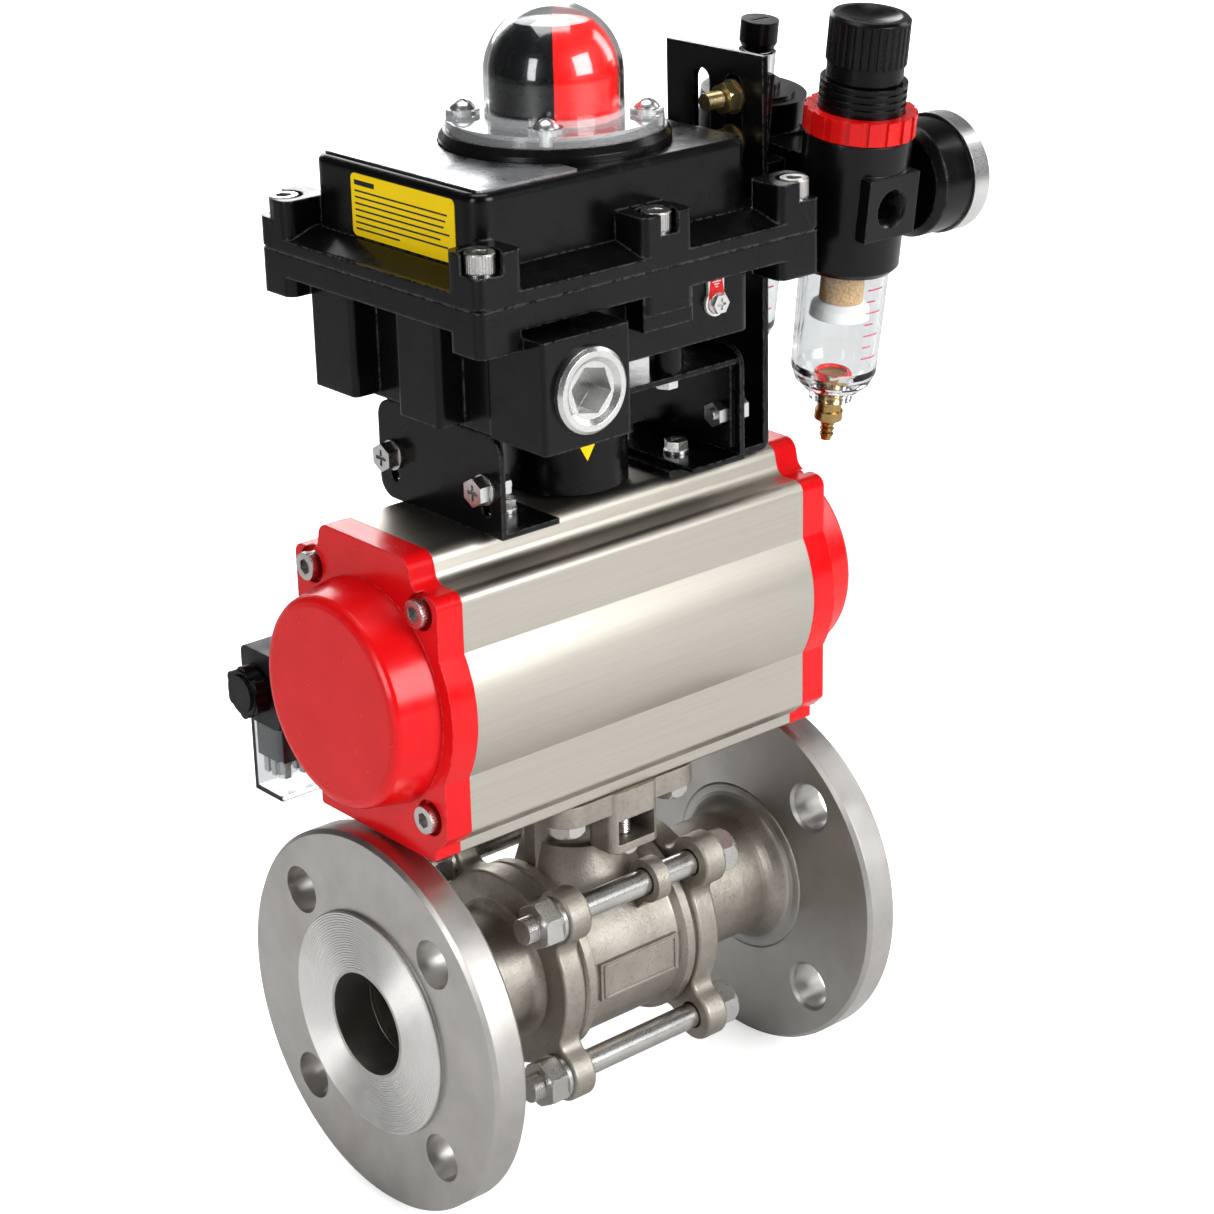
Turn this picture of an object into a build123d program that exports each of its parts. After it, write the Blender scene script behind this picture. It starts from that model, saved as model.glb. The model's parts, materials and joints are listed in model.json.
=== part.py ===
from build123d import *
import os
from math import cos, sin, radians, pi, sqrt, hypot

# Flanged ball valve with a rack-and-pinion pneumatic actuator, switch box and air set.
# Millimetres, +Z up, pipe axis along X. Shapes are drawn about the valve centre and are
# moved by half the face-to-face length when saved, so the origin is the inlet port mouth.

# Valve
FACE_TO_FACE = 200
HALF = FACE_TO_FACE / 2
BORE_R = 19.5
FLANGE_R = 72.5
FLANGE_T = 16
RAISED_R = 42.5
RAISED_T = 2
FLANGE_HOLE_R = 9
FLANGE_HOLE_CIRCLE_R = 55
NECK_R = 24.5
LUG_IN = 28
LUG_OUT = 38
LUG_R = 38
EAR_R = 10.2
EAR_FILLET = 5
NECK_FILLET = 10
FILLET_STEPS = 9
SHOULDER_FILLET = 6
STUD_YZ = 32.5
STUD_R = 4.8
BARREL_R = 34.5
RIM_R = 37.5
RIM_IN = 20.5
BODY_END = 27
CAVITY_R = 30.4
BALL_R = 30
SPIGOT_R = 30.1
SPIGOT_END = 23
SEAT_R = 26
SEAT_BACK = 31.9
STEM_R = 7
NECK_BLOCK_R = 16
PAD_TOP = 73.4
PAD_T = 8
PAD_WIDTH = 68
PAD_CORNER_R = 10
PAD_HOLE = 24.75
LUG_BOLT_Y = 27

# Actuator
BODY_X = 79.2
AXIS_Z = 127.8
TOP_Z = 183
SHOULDER_Z = 172.1
FOOT_Z = 79.2
BODY_Y = 40.3
FOOT_Y = 33.4
PLATEAU_Y = 24.7
BULGE_R = 46.3
CYLINDER_R = 41.5
CAP_T = 10.8
CAP_SCREW_Y = 31
CAP_SCREW_Z = 38
DOME_R = 41
DOME_END_R = 38
DOME_END = 107.5
PITCH_R = 18
TEETH = 18
TOOTH_HALF = 1.15
RACK_HALF_Z = 12
PISTON_R = 41.15
PISTON_IN = 38
PISTON_T = 11.4
SHAFT_R = 12
JOURNAL_CLEARANCE = 0.05

# Brackets and switch box
SHEET = 2
BRACKET_X = 54
BRACKET_Y = 34
FOOT_HOLE = (40, 15)
BRACKET_BOLT_Y = 25.6
BRACKET_BOLT_Z = 199.5
PLATE_FOOT_T = 2.5
BRIDGE_Z = 221.5
BOX_X0 = -83
BOX_X1 = 68
BOX_Y = 60.5
BOX_FLOOR = 224
SHALLOW_FLOOR = 240
LIP_Z = 264.5
PARTING_Z = 273
LID_EDGE_Z = 277.5
LID_TOP = 306
LID_X0 = -70.5
LID_X1 = 49.5
LID_Y = 45
BOX_WALL = 3
BOSS_TOP = 291
BOSS_SEAT = 284
BOX_SCREW_Y = 53.5
BOX_SCREW_X = (-76.5, -2, 61.5)
PORT_X0 = -65
PORT_X1 = -28
PORT_Y = -69.5
PORT_Z = 242.5
DOME_BASE_R = 40
DOME_RING_TOP = 311
DOME_FLANGE_R = 37.5
DOME_LUG_TOP = 317
LENS_R = 24
LENS_CENTRE_Z = 329
LENS_WALL = 1.4
INDICATOR_SPLIT = 50.5
INDICATOR_TOP = 346.5

EARTH_X = 27
EARTH_Y = -50
EARTH_Z = 253

# Air set, drawn in its own leaning frame: u along the two units, w up
LEAN = 7.5
AIR_ORIGIN = (101, -42.5, 276.8)
UNIT_PITCH = 54
UNIT_HALF = 20
PLATE_X = 73
PLATE_TOP = 327
PLATE_Y0 = -26
PLATE_Y1 = 24
KNOB_R = 14
BOWL_R = 16.5
BOWL_END = -76
GAUGE_R = 22
GAUGE_FACE = 49

PORT_R = 6.2
SLOT_Y = (-11, 5.7)
SLOT_R = 4.25
SLOT_TOP = 319
SLOT_BOTTOM = 289
STUD_Z = (311, 295)

# Solenoid valve
SOLENOID_Y0 = 47.2
SOLENOID_Y1 = 73
SOLENOID_AXIS = (60, 112)

LOW = (Align.CENTER, Align.CENTER, Align.MIN)


def place(axis, start, u=0, v=0):
    """Location whose local Z runs along the named axis; u and v are the other two places."""
    if axis == "X":
        return Pos(start, u, v) * Rot(0, 90, 0)
    if axis == "Y":
        return Pos(u, start, v) * Rot(-90, 0, 0)
    return Pos(u, v, start)


def rod(axis, a, b, r, u=0, v=0):
    return place(axis, min(a, b), u, v) * Cylinder(r, abs(b - a), align=LOW)


def cone(axis, a, b, r_a, r_b, u=0, v=0):
    low, high = (r_a, r_b) if a < b else (r_b, r_a)
    return place(axis, min(a, b), u, v) * Cone(low, high, abs(b - a), align=LOW)


def tube(axis, a, b, r_out, r_in, u=0, v=0):
    return rod(axis, a, b, r_out, u, v) - rod(axis, min(a, b) - 1, max(a, b) + 1, r_in, u, v)


def hexagon(axis, a, b, across, u=0, v=0, turn=0):
    outline = RegularPolygon(across / 2, 6, major_radius=False, rotation=turn)
    return place(axis, min(a, b), u, v) * extrude(outline, abs(b - a))


def block(x0, x1, y0, y1, z0, z1):
    return Pos((x0 + x1) / 2, (y0 + y1) / 2, (z0 + z1) / 2) * Box(x1 - x0, y1 - y0, z1 - z0)


def rounded(x0, x1, y0, y1, z0, z1, r):
    outline = RectangleRounded(x1 - x0, y1 - y0, r)
    return Pos((x0 + x1) / 2, (y0 + y1) / 2, z0) * extrude(outline, z1 - z0)


def turned(points, axis="X"):
    """Solid of revolution from (along, radius) points about X or Z."""
    if axis == "X":
        return revolve(make_face(Polyline(*points, close=True)), Axis.X)
    flipped = [(radius, along) for along, radius in points]
    return revolve(Plane.XZ * make_face(Polyline(*flipped, close=True)), Axis.Z)


def ring_of(shape, count, axis=Axis.Z, start=0):
    turn = {Axis.X: (1, 0, 0), Axis.Y: (0, 1, 0), Axis.Z: (0, 0, 1)}[axis]
    angles = [start + 360 / count * i for i in range(count)]
    return [Rot(*(a * t for t in turn)) * shape for a in angles]


def mirrored(shape):
    return mirror(shape, Plane.YZ)


def group(pieces):
    """One node of several loose solids."""
    return Compound([solid for piece in pieces for solid in piece.solids()])


def corners(y, z):
    return [(sy * y, sz * z) for sy in (-1, 1) for sz in (-1, 1)]


def socket_screw(axis, seat, out, head_r, head_h, shank_r, length, u, v):
    """Socket head screw; out is +1 or -1, the way the head points along the axis."""
    head = rod(axis, seat, seat + out * head_h, head_r, u, v)
    socket = hexagon(axis, seat + out * head_h * 0.45, seat + out * (head_h + 1), head_r, u, v)
    shank = rod(axis, seat - out * length, seat, shank_r, u, v)
    return head - socket + shank


def hex_bolt(axis, seat, out, across, head_h, shank_r, length, u, v):
    head = hexagon(axis, seat, seat + out * head_h, across, u, v)
    crown = cone(axis, seat, seat + out * head_h, across * 0.75, across * 0.5, u, v)
    return (head & crown) + rod(axis, seat - out * length, seat, shank_r, u, v)


def cross_screw(axis, seat, out, head_r, head_h, shank_r, length, u, v):
    """Hex-washer cross-recess screw with its spring washer."""
    head = hexagon(axis, seat + out * 1.2, seat + out * (1.2 + head_h), head_r * 1.75, u, v)
    washer = rod(axis, seat, seat + out * 1.2, head_r * 1.05, u, v)
    depth = seat + out * (1.2 + head_h * 0.55)
    top = seat + out * (head_h + 3)
    place_cross = place(axis, min(depth, top), u, v)
    arm = extrude(Rectangle(head_r * 1.1, head_r * 0.24), abs(top - depth))
    cross = place_cross * (arm + Rot(0, 0, 90) * arm)
    return head - cross + washer + rod(axis, seat - out * length, seat, shank_r, u, v)


def pan_screw(seat, head_r, head_h, shank_r, length, x, y):
    """Upright screw with a domed head and a cross recess."""
    ball_r = (head_r ** 2 + head_h ** 2) / (2 * head_h)
    cap = Pos(x, y, seat + head_h - ball_r) * Sphere(ball_r)
    head = rod("Z", seat, seat + head_h, head_r, x, y) & cap
    arm = block(-head_r * 0.55, head_r * 0.55, -0.5, 0.5, seat + head_h * 0.45, seat + head_h + 1)
    head -= Pos(x, y, 0) * (arm + Rot(0, 0, 90) * arm)
    return head + rod("Z", seat - length, seat, shank_r, x, y)


# ---------------------------------------------------------------- valve

def hollow_corner(face_x, radius, size, side):
    """Points of a quarter-round fillet from a face at face_x down to a neck of the given radius."""
    points = []
    for i in range(FILLET_STEPS + 1):
        a = pi / 2 * i / FILLET_STEPS
        points.append((face_x + side * size * (1 - cos(a)), radius + size * (1 - sin(a))))
    return points


def lug_flange():
    """Round flange of an end cap with its four bolt ears, blended and rounded over."""
    outline = Circle(LUG_R)
    for y, z in corners(STUD_YZ, STUD_YZ):
        outline += Pos(y, z) * Circle(EAR_R)
    notches = [v for v in outline.vertices() if abs(hypot(v.X, v.Y) - LUG_R) < 0.01 and abs(v.Y) > 1]
    lugs = extrude(fillet(notches, EAR_FILLET), LUG_OUT - LUG_IN)
    lugs = fillet(lugs.edges().group_by(Axis.Z)[0] + lugs.edges().group_by(Axis.Z)[-1], 1.4)
    return Pos(-LUG_OUT, 0, 0) * (Plane.YZ * lugs)


def whole_end():
    """Inlet end: pipe flange, neck, lug flange and seat pocket, bored through."""
    back = -HALF + FLANGE_T
    profile = [
        (-HALF, 0), (-HALF, RAISED_R - 0.6), (-HALF + 0.6, RAISED_R), (-HALF + RAISED_T, RAISED_R),
        (-HALF + RAISED_T, FLANGE_R - 1.5), (-HALF + RAISED_T + 1.5, FLANGE_R),
        (back - 1.5, FLANGE_R), (back, FLANGE_R - 1.5),
    ]
    profile += hollow_corner(back, NECK_R, NECK_FILLET, 1)
    profile += reversed(hollow_corner(-LUG_OUT + 1, NECK_R, SHOULDER_FILLET, -1))
    profile += [(-LUG_OUT + 1, SPIGOT_R), (-SPIGOT_END, SPIGOT_R), (-SPIGOT_END, 0)]
    cap = turned(profile) + lug_flange()
    for y, z in corners(STUD_YZ, STUD_YZ):
        cap -= rod("X", -LUG_OUT - 1, -LUG_IN + 1, STUD_R + 0.5, y, z)
    cap -= rod("X", -HALF - 1, 0, BORE_R)
    cap -= rod("X", -SEAT_BACK - 0.1, 0, SEAT_R + 0.05)
    for hole in ring_of(Pos(0, 0, FLANGE_HOLE_CIRCLE_R), 4, Axis.X, 45):
        centre = hole.position
        cap -= rod("X", -HALF - 1, back + 1, FLANGE_HOLE_R, centre.Y, centre.Z)
        cap -= cone("X", back - 1.2, back + 0.1, FLANGE_HOLE_R, FLANGE_HOLE_R + 1.3, centre.Y, centre.Z)
    return cap


def flange_space():
    return block(-HALF - 1, -HALF + FLANGE_T, -FLANGE_R - 1, FLANGE_R + 1, -FLANGE_R - 1, FLANGE_R + 1)


def pipe_flange():
    return whole_end() & flange_space()


def end_cap():
    return whole_end() - flange_space()


def valve_body():
    """Barrel with end rims, rating pad, stud eyes, stem neck and actuator mounting pad."""
    profile = [
        (-BODY_END, 0), (-BODY_END, RIM_R - 1), (-BODY_END + 1, RIM_R), (-RIM_IN - 2, RIM_R),
        (-RIM_IN, BARREL_R), (RIM_IN, BARREL_R), (RIM_IN + 2, RIM_R), (BODY_END - 1, RIM_R),
        (BODY_END, RIM_R - 1), (BODY_END, 0),
    ]
    body = turned(profile)
    body += block(-19, 19, -BARREL_R - 1.2, -BARREL_R + 4, -7.5, 7.5)
    for y in (-STUD_YZ, STUD_YZ):
        body += rod("X", 5.5, 11.5, STUD_R + 3.6, y, STUD_YZ)
        body += Rot(-45 if y > 0 else 45, 0, 0) * block(5.5, 11.5, -6, 6, BARREL_R - 3, 45)
    body += rod("Z", 20, PAD_TOP - 2, NECK_BLOCK_R)
    body += cone("Z", 26, 46, 25, 19)
    for x in (-1, 1):
        body += block(min(14 * x, 22 * x), max(14 * x, 22 * x), -3, 3, 30, PAD_TOP - PAD_T + 1)
    half = PAD_WIDTH / 2
    body += rounded(-half, half, -half, half, PAD_TOP - PAD_T, PAD_TOP, PAD_CORNER_R)
    for side in (-1, 1):
        near, far = sorted((side * 20, side * 35.5))
        body += rounded(-11.5, 11.5, near, far, 49.7, PAD_TOP, 4)
        window_near, window_far = sorted((side * 20.5, side * 36))
        body -= block(-8.6, 8.6, window_near, window_far, 52.8, 62.4)
        body -= rod("Z", 48, PAD_TOP + 1, 3.2, 0, side * LUG_BOLT_Y)
    for x, y in corners(PAD_HOLE, PAD_HOLE):
        body -= rod("Z", PAD_TOP - PAD_T - 1, PAD_TOP + 1, 4.3, x, y)
    body -= rod("X", -BODY_END - 1, BODY_END + 1, CAVITY_R)
    body -= rod("Z", 0, PAD_TOP + 1, STEM_R + JOURNAL_CLEARANCE)
    body -= rod("Z", 50, PAD_TOP + 1, 11)
    for y in (-STUD_YZ, STUD_YZ):
        body -= rod("X", 4, 13, STUD_R + 0.5, y, STUD_YZ)
        body -= rod("X", -BODY_END - 1, 5.5, STUD_R + 0.8, y, STUD_YZ)
        body -= rod("X", 11.5, BODY_END + 1, STUD_R + 0.8, y, STUD_YZ)
    return body


def ball():
    """Closed position: the through bore lies across the pipe."""
    solid = Sphere(BALL_R) - rod("Y", -BALL_R, BALL_R, BORE_R)
    return solid - block(-BALL_R, BALL_R, -4.1, 4.1, 24.5, BALL_R + 1)


def valve_seals():
    """Ball seats, body gaskets and the three stem packing rings."""
    seat = tube("X", -SEAT_BACK, -17, SEAT_R, BORE_R + 0.7) - Sphere(BALL_R + 0.03)
    gasket = tube("X", -LUG_IN, -BODY_END, RIM_R - 2.5, SPIGOT_R + 0.2)
    rings = [tube("Z", 50.1 + 2.6 * i, 52.5 + 2.6 * i, 10.9, STEM_R + JOURNAL_CLEARANCE) for i in range(3)]
    return group([seat, mirrored(seat), gasket, mirrored(gasket)] + rings)


def stem():
    """Tang in the ball slot, journal, and square drive into the pinion."""
    tang = block(-12, 12, -4, 4, 24.6, 30.6) & rod("Z", 20, 40, STEM_R)
    return tang + rod("Z", 30.4, 68.4, STEM_R) + block(-5.5, 5.5, -5.5, 5.5, 68, 86)


def packing_gland():
    return tube("Z", 58.2, 64, 10.9, STEM_R + 0.1) + tube("Z", 64, 67, 10.9, 8.2)


def body_bolts():
    """The four long bolts, each with its nut and washer."""
    pieces = []
    for y, z in corners(STUD_YZ, STUD_YZ):
        pieces.append(hex_bolt("X", LUG_OUT, 1, 16, 7.6, STUD_R, LUG_OUT + 53, y, z))
        nut = hexagon("X", -LUG_OUT - 9.6, -LUG_OUT - 1.8, 16, y, z)
        nut = nut & cone("X", -LUG_OUT - 9.6, -LUG_OUT - 1.8, 8.6, 12, y, z)
        washer = rod("X", -LUG_OUT - 1.8, -LUG_OUT, 8.8, y, z)
        pieces.append(nut + washer - rod("X", -LUG_OUT - 12, -LUG_OUT + 1, STUD_R, y, z))
    return group(pieces)


def actuator_mount_bolts():
    low = PAD_TOP - PAD_T
    bolts = [hex_bolt("Z", low, -1, 13, 5.3, 3.9, 16, x, y) for x, y in corners(PAD_HOLE, PAD_HOLE)]
    bolts += [hex_bolt("Z", 49.7, -1, 10, 4, 2.9, 32, 0, y) for y in (-LUG_BOLT_Y, LUG_BOLT_Y)]
    return group(bolts)


# ---------------------------------------------------------------- actuator

def housing_outline():
    """Cross-section in Y and Z: flat sides, round bulge, raised top and stepped foot."""
    side = [
        (PLATEAU_Y, TOP_Z), (PLATEAU_Y + 2.4, SHOULDER_Z), (BODY_Y, SHOULDER_Z),
        (BODY_Y, FOOT_Z + 4.8), (FOOT_Y + 2, FOOT_Z), (FOOT_Y, FOOT_Z), (FOOT_Y, PAD_TOP),
    ]
    radii = [5, 4.5, 4, 2.5, 0.8, 0.3, 1.2]
    points = side + [(-y, z) for y, z in reversed(side)]
    outline = FilletPolyline(*points, radius=radii + radii[::-1], close=True)
    return make_face(outline) + Pos(0, AXIS_Z) * Circle(BULGE_R)


def housing_bar(x0, x1):
    return Pos(x0, 0, 0) * extrude(Plane.YZ * housing_outline(), x1 - x0)


def bearing_holes(r, low_top=90, high_bottom=165):
    return rod("Z", PAD_TOP - 1, low_top, r) + rod("Z", high_bottom, TOP_Z + 1, r)


def actuator_body():
    """Extruded housing, bored for the pistons and the pinion."""
    body = housing_bar(-BODY_X, BODY_X)
    body += block(-32, 32, 30, SOLENOID_Y0 - 0.2, AXIS_Z - 22, AXIS_Z + 22)
    body -= rod("X", -BODY_X - 1, BODY_X + 1, CYLINDER_R, 0, AXIS_Z)
    body -= bearing_holes(SHAFT_R + 3)
    for y, z in corners(CAP_SCREW_Y, CAP_SCREW_Z):
        for x in (-1, 1):
            low, high = sorted((x * (BODY_X - 18), x * (BODY_X + 1)))
            body -= rod("X", low, high, 3, y, AXIS_Z + z)
    for x in (-12, 12):
        body -= rod("Y", 36, 50, 4.5, x, AXIS_Z)
    for x, y in corners(*FOOT_HOLE):
        body -= rod("Z", TOP_Z - 8, TOP_Z + 1, 2.5, x, y)
    for x, y in corners(PAD_HOLE, PAD_HOLE):
        body -= rod("Z", PAD_TOP - 1, PAD_TOP + 8.2, 3.9, x, y)
    for y in (-LUG_BOLT_Y, LUG_BOLT_Y):
        body -= rod("Z", PAD_TOP - 1, PAD_TOP + 9.5, 2.9, 0, y)
    for x, z in corners(16, 12):
        body -= rod("Y", SOLENOID_Y0 - 8, SOLENOID_Y0 + 1, 2.1, x, AXIS_Z + z)
    return body


def end_cap_left():
    """Cover with the housing's outline, a hollow dome and four counterbored screw holes."""
    face = -BODY_X - CAP_T
    cap = housing_bar(face, -BODY_X)
    rim = DOME_END - 2.5
    dome = turned([
        (-BODY_X - 2, 0), (-BODY_X - 2, DOME_R + 0.6), (face - 1, DOME_R), (-rim, DOME_END_R + 0.2),
        (-rim - 1.2, DOME_END_R - 0.5), (-rim - 2.1, DOME_END_R - 1.7), (-DOME_END, DOME_END_R - 3.6),
        (-DOME_END, 0),
    ])
    cap += Pos(0, 0, AXIS_Z) * dome
    cap -= rod("X", -DOME_END + 3.5, -BODY_X + 1, DOME_END_R - 4, 0, AXIS_Z)
    for y, z in corners(CAP_SCREW_Y, CAP_SCREW_Z):
        cap -= rod("X", face - 1, -BODY_X + 1, 3.3, y, AXIS_Z + z)
        cap -= rod("X", face - 8, face + 3, 6.6, y, AXIS_Z + z)
    return cap


def cover_seals():
    """Rubber rings of the two end caps and the gasket of the switch box lid."""
    seal = tube("X", -BODY_X, -BODY_X + 1.2, CYLINDER_R - 0.02, CYLINDER_R - 1.4, 0, AXIS_Z)
    gasket = rounded(-60.5, 40.5, -44, 44, PARTING_Z - 0.9, PARTING_Z, 5)
    gasket -= rounded(-58.9, 38.9, -42.4, 42.4, PARTING_Z - 2, PARTING_Z + 1, 3)
    return group([seal, mirrored(seal), gasket])


def socket_screws():
    """M6 socket head screws: end caps, switch box lid and solenoid valve."""
    screws = []
    for side in (-1, 1):
        seat = side * (BODY_X + CAP_T - 3)
        for y, z in corners(CAP_SCREW_Y, CAP_SCREW_Z):
            screws.append(socket_screw("X", seat, side, 5, 6, 2.95, 22, y, AXIS_Z + z))
    for x, y in box_screw_places():
        screws.append(socket_screw("Z", BOSS_SEAT, 1, 5, 7, 2.5, 22, x, y))
    for x, z in ((-16, 12), (16, -12)):
        screws.append(socket_screw("Y", SOLENOID_Y1 - 6, 1, 4.2, 5, 2, 26, x, AXIS_Z + z))
    return group(screws)


def tooth_prism(root, tip, half_root, half_tip):
    """Trapezoid tooth standing on +Y, its length along Z."""
    outline = Polygon((-half_root, root), (half_root, root), (half_tip, tip), (-half_tip, tip), align=None)
    return Pos(0, 0, AXIS_Z - RACK_HALF_Z) * extrude(outline, 2 * RACK_HALF_Z, dir=(0, 0, 1))


def pinion():
    """Toothed shaft; its lower square takes the valve stem, its top takes the puck."""
    gear = rod("Z", AXIS_Z - RACK_HALF_Z, AXIS_Z + RACK_HALF_Z, PITCH_R - 2.4)
    for tooth in ring_of(tooth_prism(PITCH_R - 3, PITCH_R + 1.4, 2, 0.7), TEETH, Axis.Z, 360 / TEETH / 2):
        gear += tooth
    gear += rod("Z", PAD_TOP + 1, TOP_Z + 1.4, SHAFT_R)
    gear += block(-5.5, 5.5, -5.5, 5.5, TOP_Z + 1, TOP_Z + 17)
    return gear - block(-5.6, 5.6, -5.6, 5.6, PAD_TOP, PAD_TOP + 15)


def pinion_bearings():
    low = tube("Z", PAD_TOP + 2, PAD_TOP + 10, SHAFT_R + 3, SHAFT_R + JOURNAL_CLEARANCE)
    high = tube("Z", TOP_Z - 10, TOP_Z - 0.5, SHAFT_R + 3, SHAFT_R + JOURNAL_CLEARANCE)
    return group([low, high])


def piston_left():
    """Disc with a racked arm that reaches past the pinion on its +Y side."""
    disc = rod("X", -PISTON_IN - PISTON_T, -PISTON_IN, PISTON_R, 0, AXIS_Z)
    disc -= tube("X", -PISTON_IN - 8.6, -PISTON_IN - 4.6, PISTON_R + 1, PISTON_R - 2.6, 0, AXIS_Z)
    arm = block(-PISTON_IN - 1, PISTON_IN - 2, PITCH_R + 2.6, 30, AXIS_Z - RACK_HALF_Z, AXIS_Z + RACK_HALF_Z)
    pitch = 2 * pi * PITCH_R / TEETH
    for i in range(-2, 6):
        arm += Pos(i * pitch, 0, 0) * tooth_prism(PITCH_R + 3, PITCH_R - 1.3, 2, 0.7)
    ring = tube("X", -PISTON_IN - 8.4, -PISTON_IN - 4.8, CYLINDER_R - 0.03, PISTON_R - 2.5, 0, AXIS_Z)
    return group([disc + arm, ring])


def position_puck():
    """Black coupling under the switch box, with a raised arrow boss on its rim."""
    puck = rod("Z", TOP_Z + 1.5, TOP_Z + 22, 22.7) + rod("Z", TOP_Z + 22, TOP_Z + 27, 12)
    return puck - block(-5.6, 5.6, -5.6, 5.6, TOP_Z + 1, TOP_Z + 17.2)


# ---------------------------------------------------------------- brackets

def bent_bracket(side, foot_z, top_z):
    """Angle bracket: foot on the housing, leg up to the bridge. side is -1 or +1 along X."""
    inner = BRACKET_X
    low, high = sorted((side * inner, side * (inner + SHEET)))
    foot_low, foot_high = sorted((side * 31, side * (inner + SHEET)))
    leg = block(low, high, -BRACKET_Y, BRACKET_Y, foot_z, top_z)
    leg = fillet(leg.edges().filter_by(Axis.X), 7)
    bracket = leg + block(low, high, -BRACKET_Y, 20, foot_z, foot_z + 12)
    bracket += block(foot_low, foot_high, -BRACKET_Y, 20, foot_z, foot_z + SHEET)
    for y in (-BRACKET_BOLT_Y, BRACKET_BOLT_Y):
        bracket -= rod("X", low - 1, high + 1, 2.7, y, foot_z + BRACKET_BOLT_Z - TOP_Z)
        bracket -= rod("X", low - 1, high + 1, 2.4, y, foot_z + 9)
    for y in (-FOOT_HOLE[1], FOOT_HOLE[1]):
        bracket -= rod("Z", foot_z - 1, foot_z + 4, 2.8, side * FOOT_HOLE[0], y)
    return bracket


def bracket_left():
    return bent_bracket(-1, TOP_Z, 219)


def bracket_right():
    return bent_bracket(1, TOP_Z + PLATE_FOOT_T, 227)


def bracket_bridge():
    """Bridge plate that carries the switch box, with a leg down inside each bracket."""
    top = BRIDGE_Z + SHEET
    bridge = block(-BRACKET_X, BRACKET_X, -33, 33, BRIDGE_Z, top)
    for low, high in ((-BRACKET_X, -BRACKET_X + SHEET), (BRACKET_X - SHEET, BRACKET_X)):
        bridge += block(low, high, -31, 31, TOP_Z + 7, top)
    bridge -= rod("Z", BRIDGE_Z - 1, top + 1, 16)
    for y in (-BRACKET_BOLT_Y, BRACKET_BOLT_Y):
        bridge -= rod("X", -BRACKET_X - 1, 0, 2.7, y, BRACKET_BOLT_Z)
        bridge -= rod("X", 0, BRACKET_X + 1, 2.7, y, BRACKET_BOLT_Z + PLATE_FOOT_T)
    for x, y in corners(26, 26):
        bridge -= rod("Z", BRIDGE_Z - 1, top + 1, 2.3, x, y)
    return bridge


def cross_screws():
    """Cross-recess screws with spring washers: brackets, feet, bridge, window and earth tag."""
    screws = []
    for side in (-1, 1):
        z = BRACKET_BOLT_Z + (PLATE_FOOT_T if side > 0 else 0)
        seat = side * (BRACKET_X + SHEET)
        back = side * (BRACKET_X - SHEET)
        for y in (-BRACKET_BOLT_Y, BRACKET_BOLT_Y):
            screws.append(cross_screw("X", seat, side, 5.2, 4.6, 2.5, 9.5, y, z))
            screws.append(hexagon("X", back, back - side * 4, 8, y, z) - rod("X", -90, 90, 2.5, y, z))
    for x, y in corners(*FOOT_HOLE):
        seat = TOP_Z + SHEET + (PLATE_FOOT_T if x > 0 else 0)
        screws.append(cross_screw("Z", seat, 1, 4.4, 3.4, 2.45, 9.5, x, y))
    for x, y in corners(26, 26):
        screws.append(cross_screw("Z", BRIDGE_Z, -1, 4.2, 2.8, 2.15, 9, x, y))
    for x, y in dome_screw_places():
        screws.append(pan_screw(DOME_LUG_TOP, 4.5, 3, 2, 10.5, x, y))
    screws.append(cross_screw("Y", EARTH_Y - 1.2, -1, 3.6, 1.6, 1.85, 10, EARTH_X, EARTH_Z))
    return group(screws)


# ---------------------------------------------------------------- switch box

def box_columns(z0, z1, x_mid_half=10):
    """Corner and mid-side screw columns of the box, as (x0, x1, y0, y1) blocks."""
    columns = []
    for side in (-1, 1):
        y0, y1 = sorted((side * BOX_Y, side * (BOX_Y - 17)))
        for x0, x1 in ((BOX_X0, BOX_X0 + 19), (-13, 9), (BOX_X1 - 19, BOX_X1)):
            columns.append(rounded(x0, x1, y0, y1, z0, z1, 3.5))
    return columns


def box_screw_places():
    return [(x, side * BOX_SCREW_Y) for x in BOX_SCREW_X for side in (-1, 1)]


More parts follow.
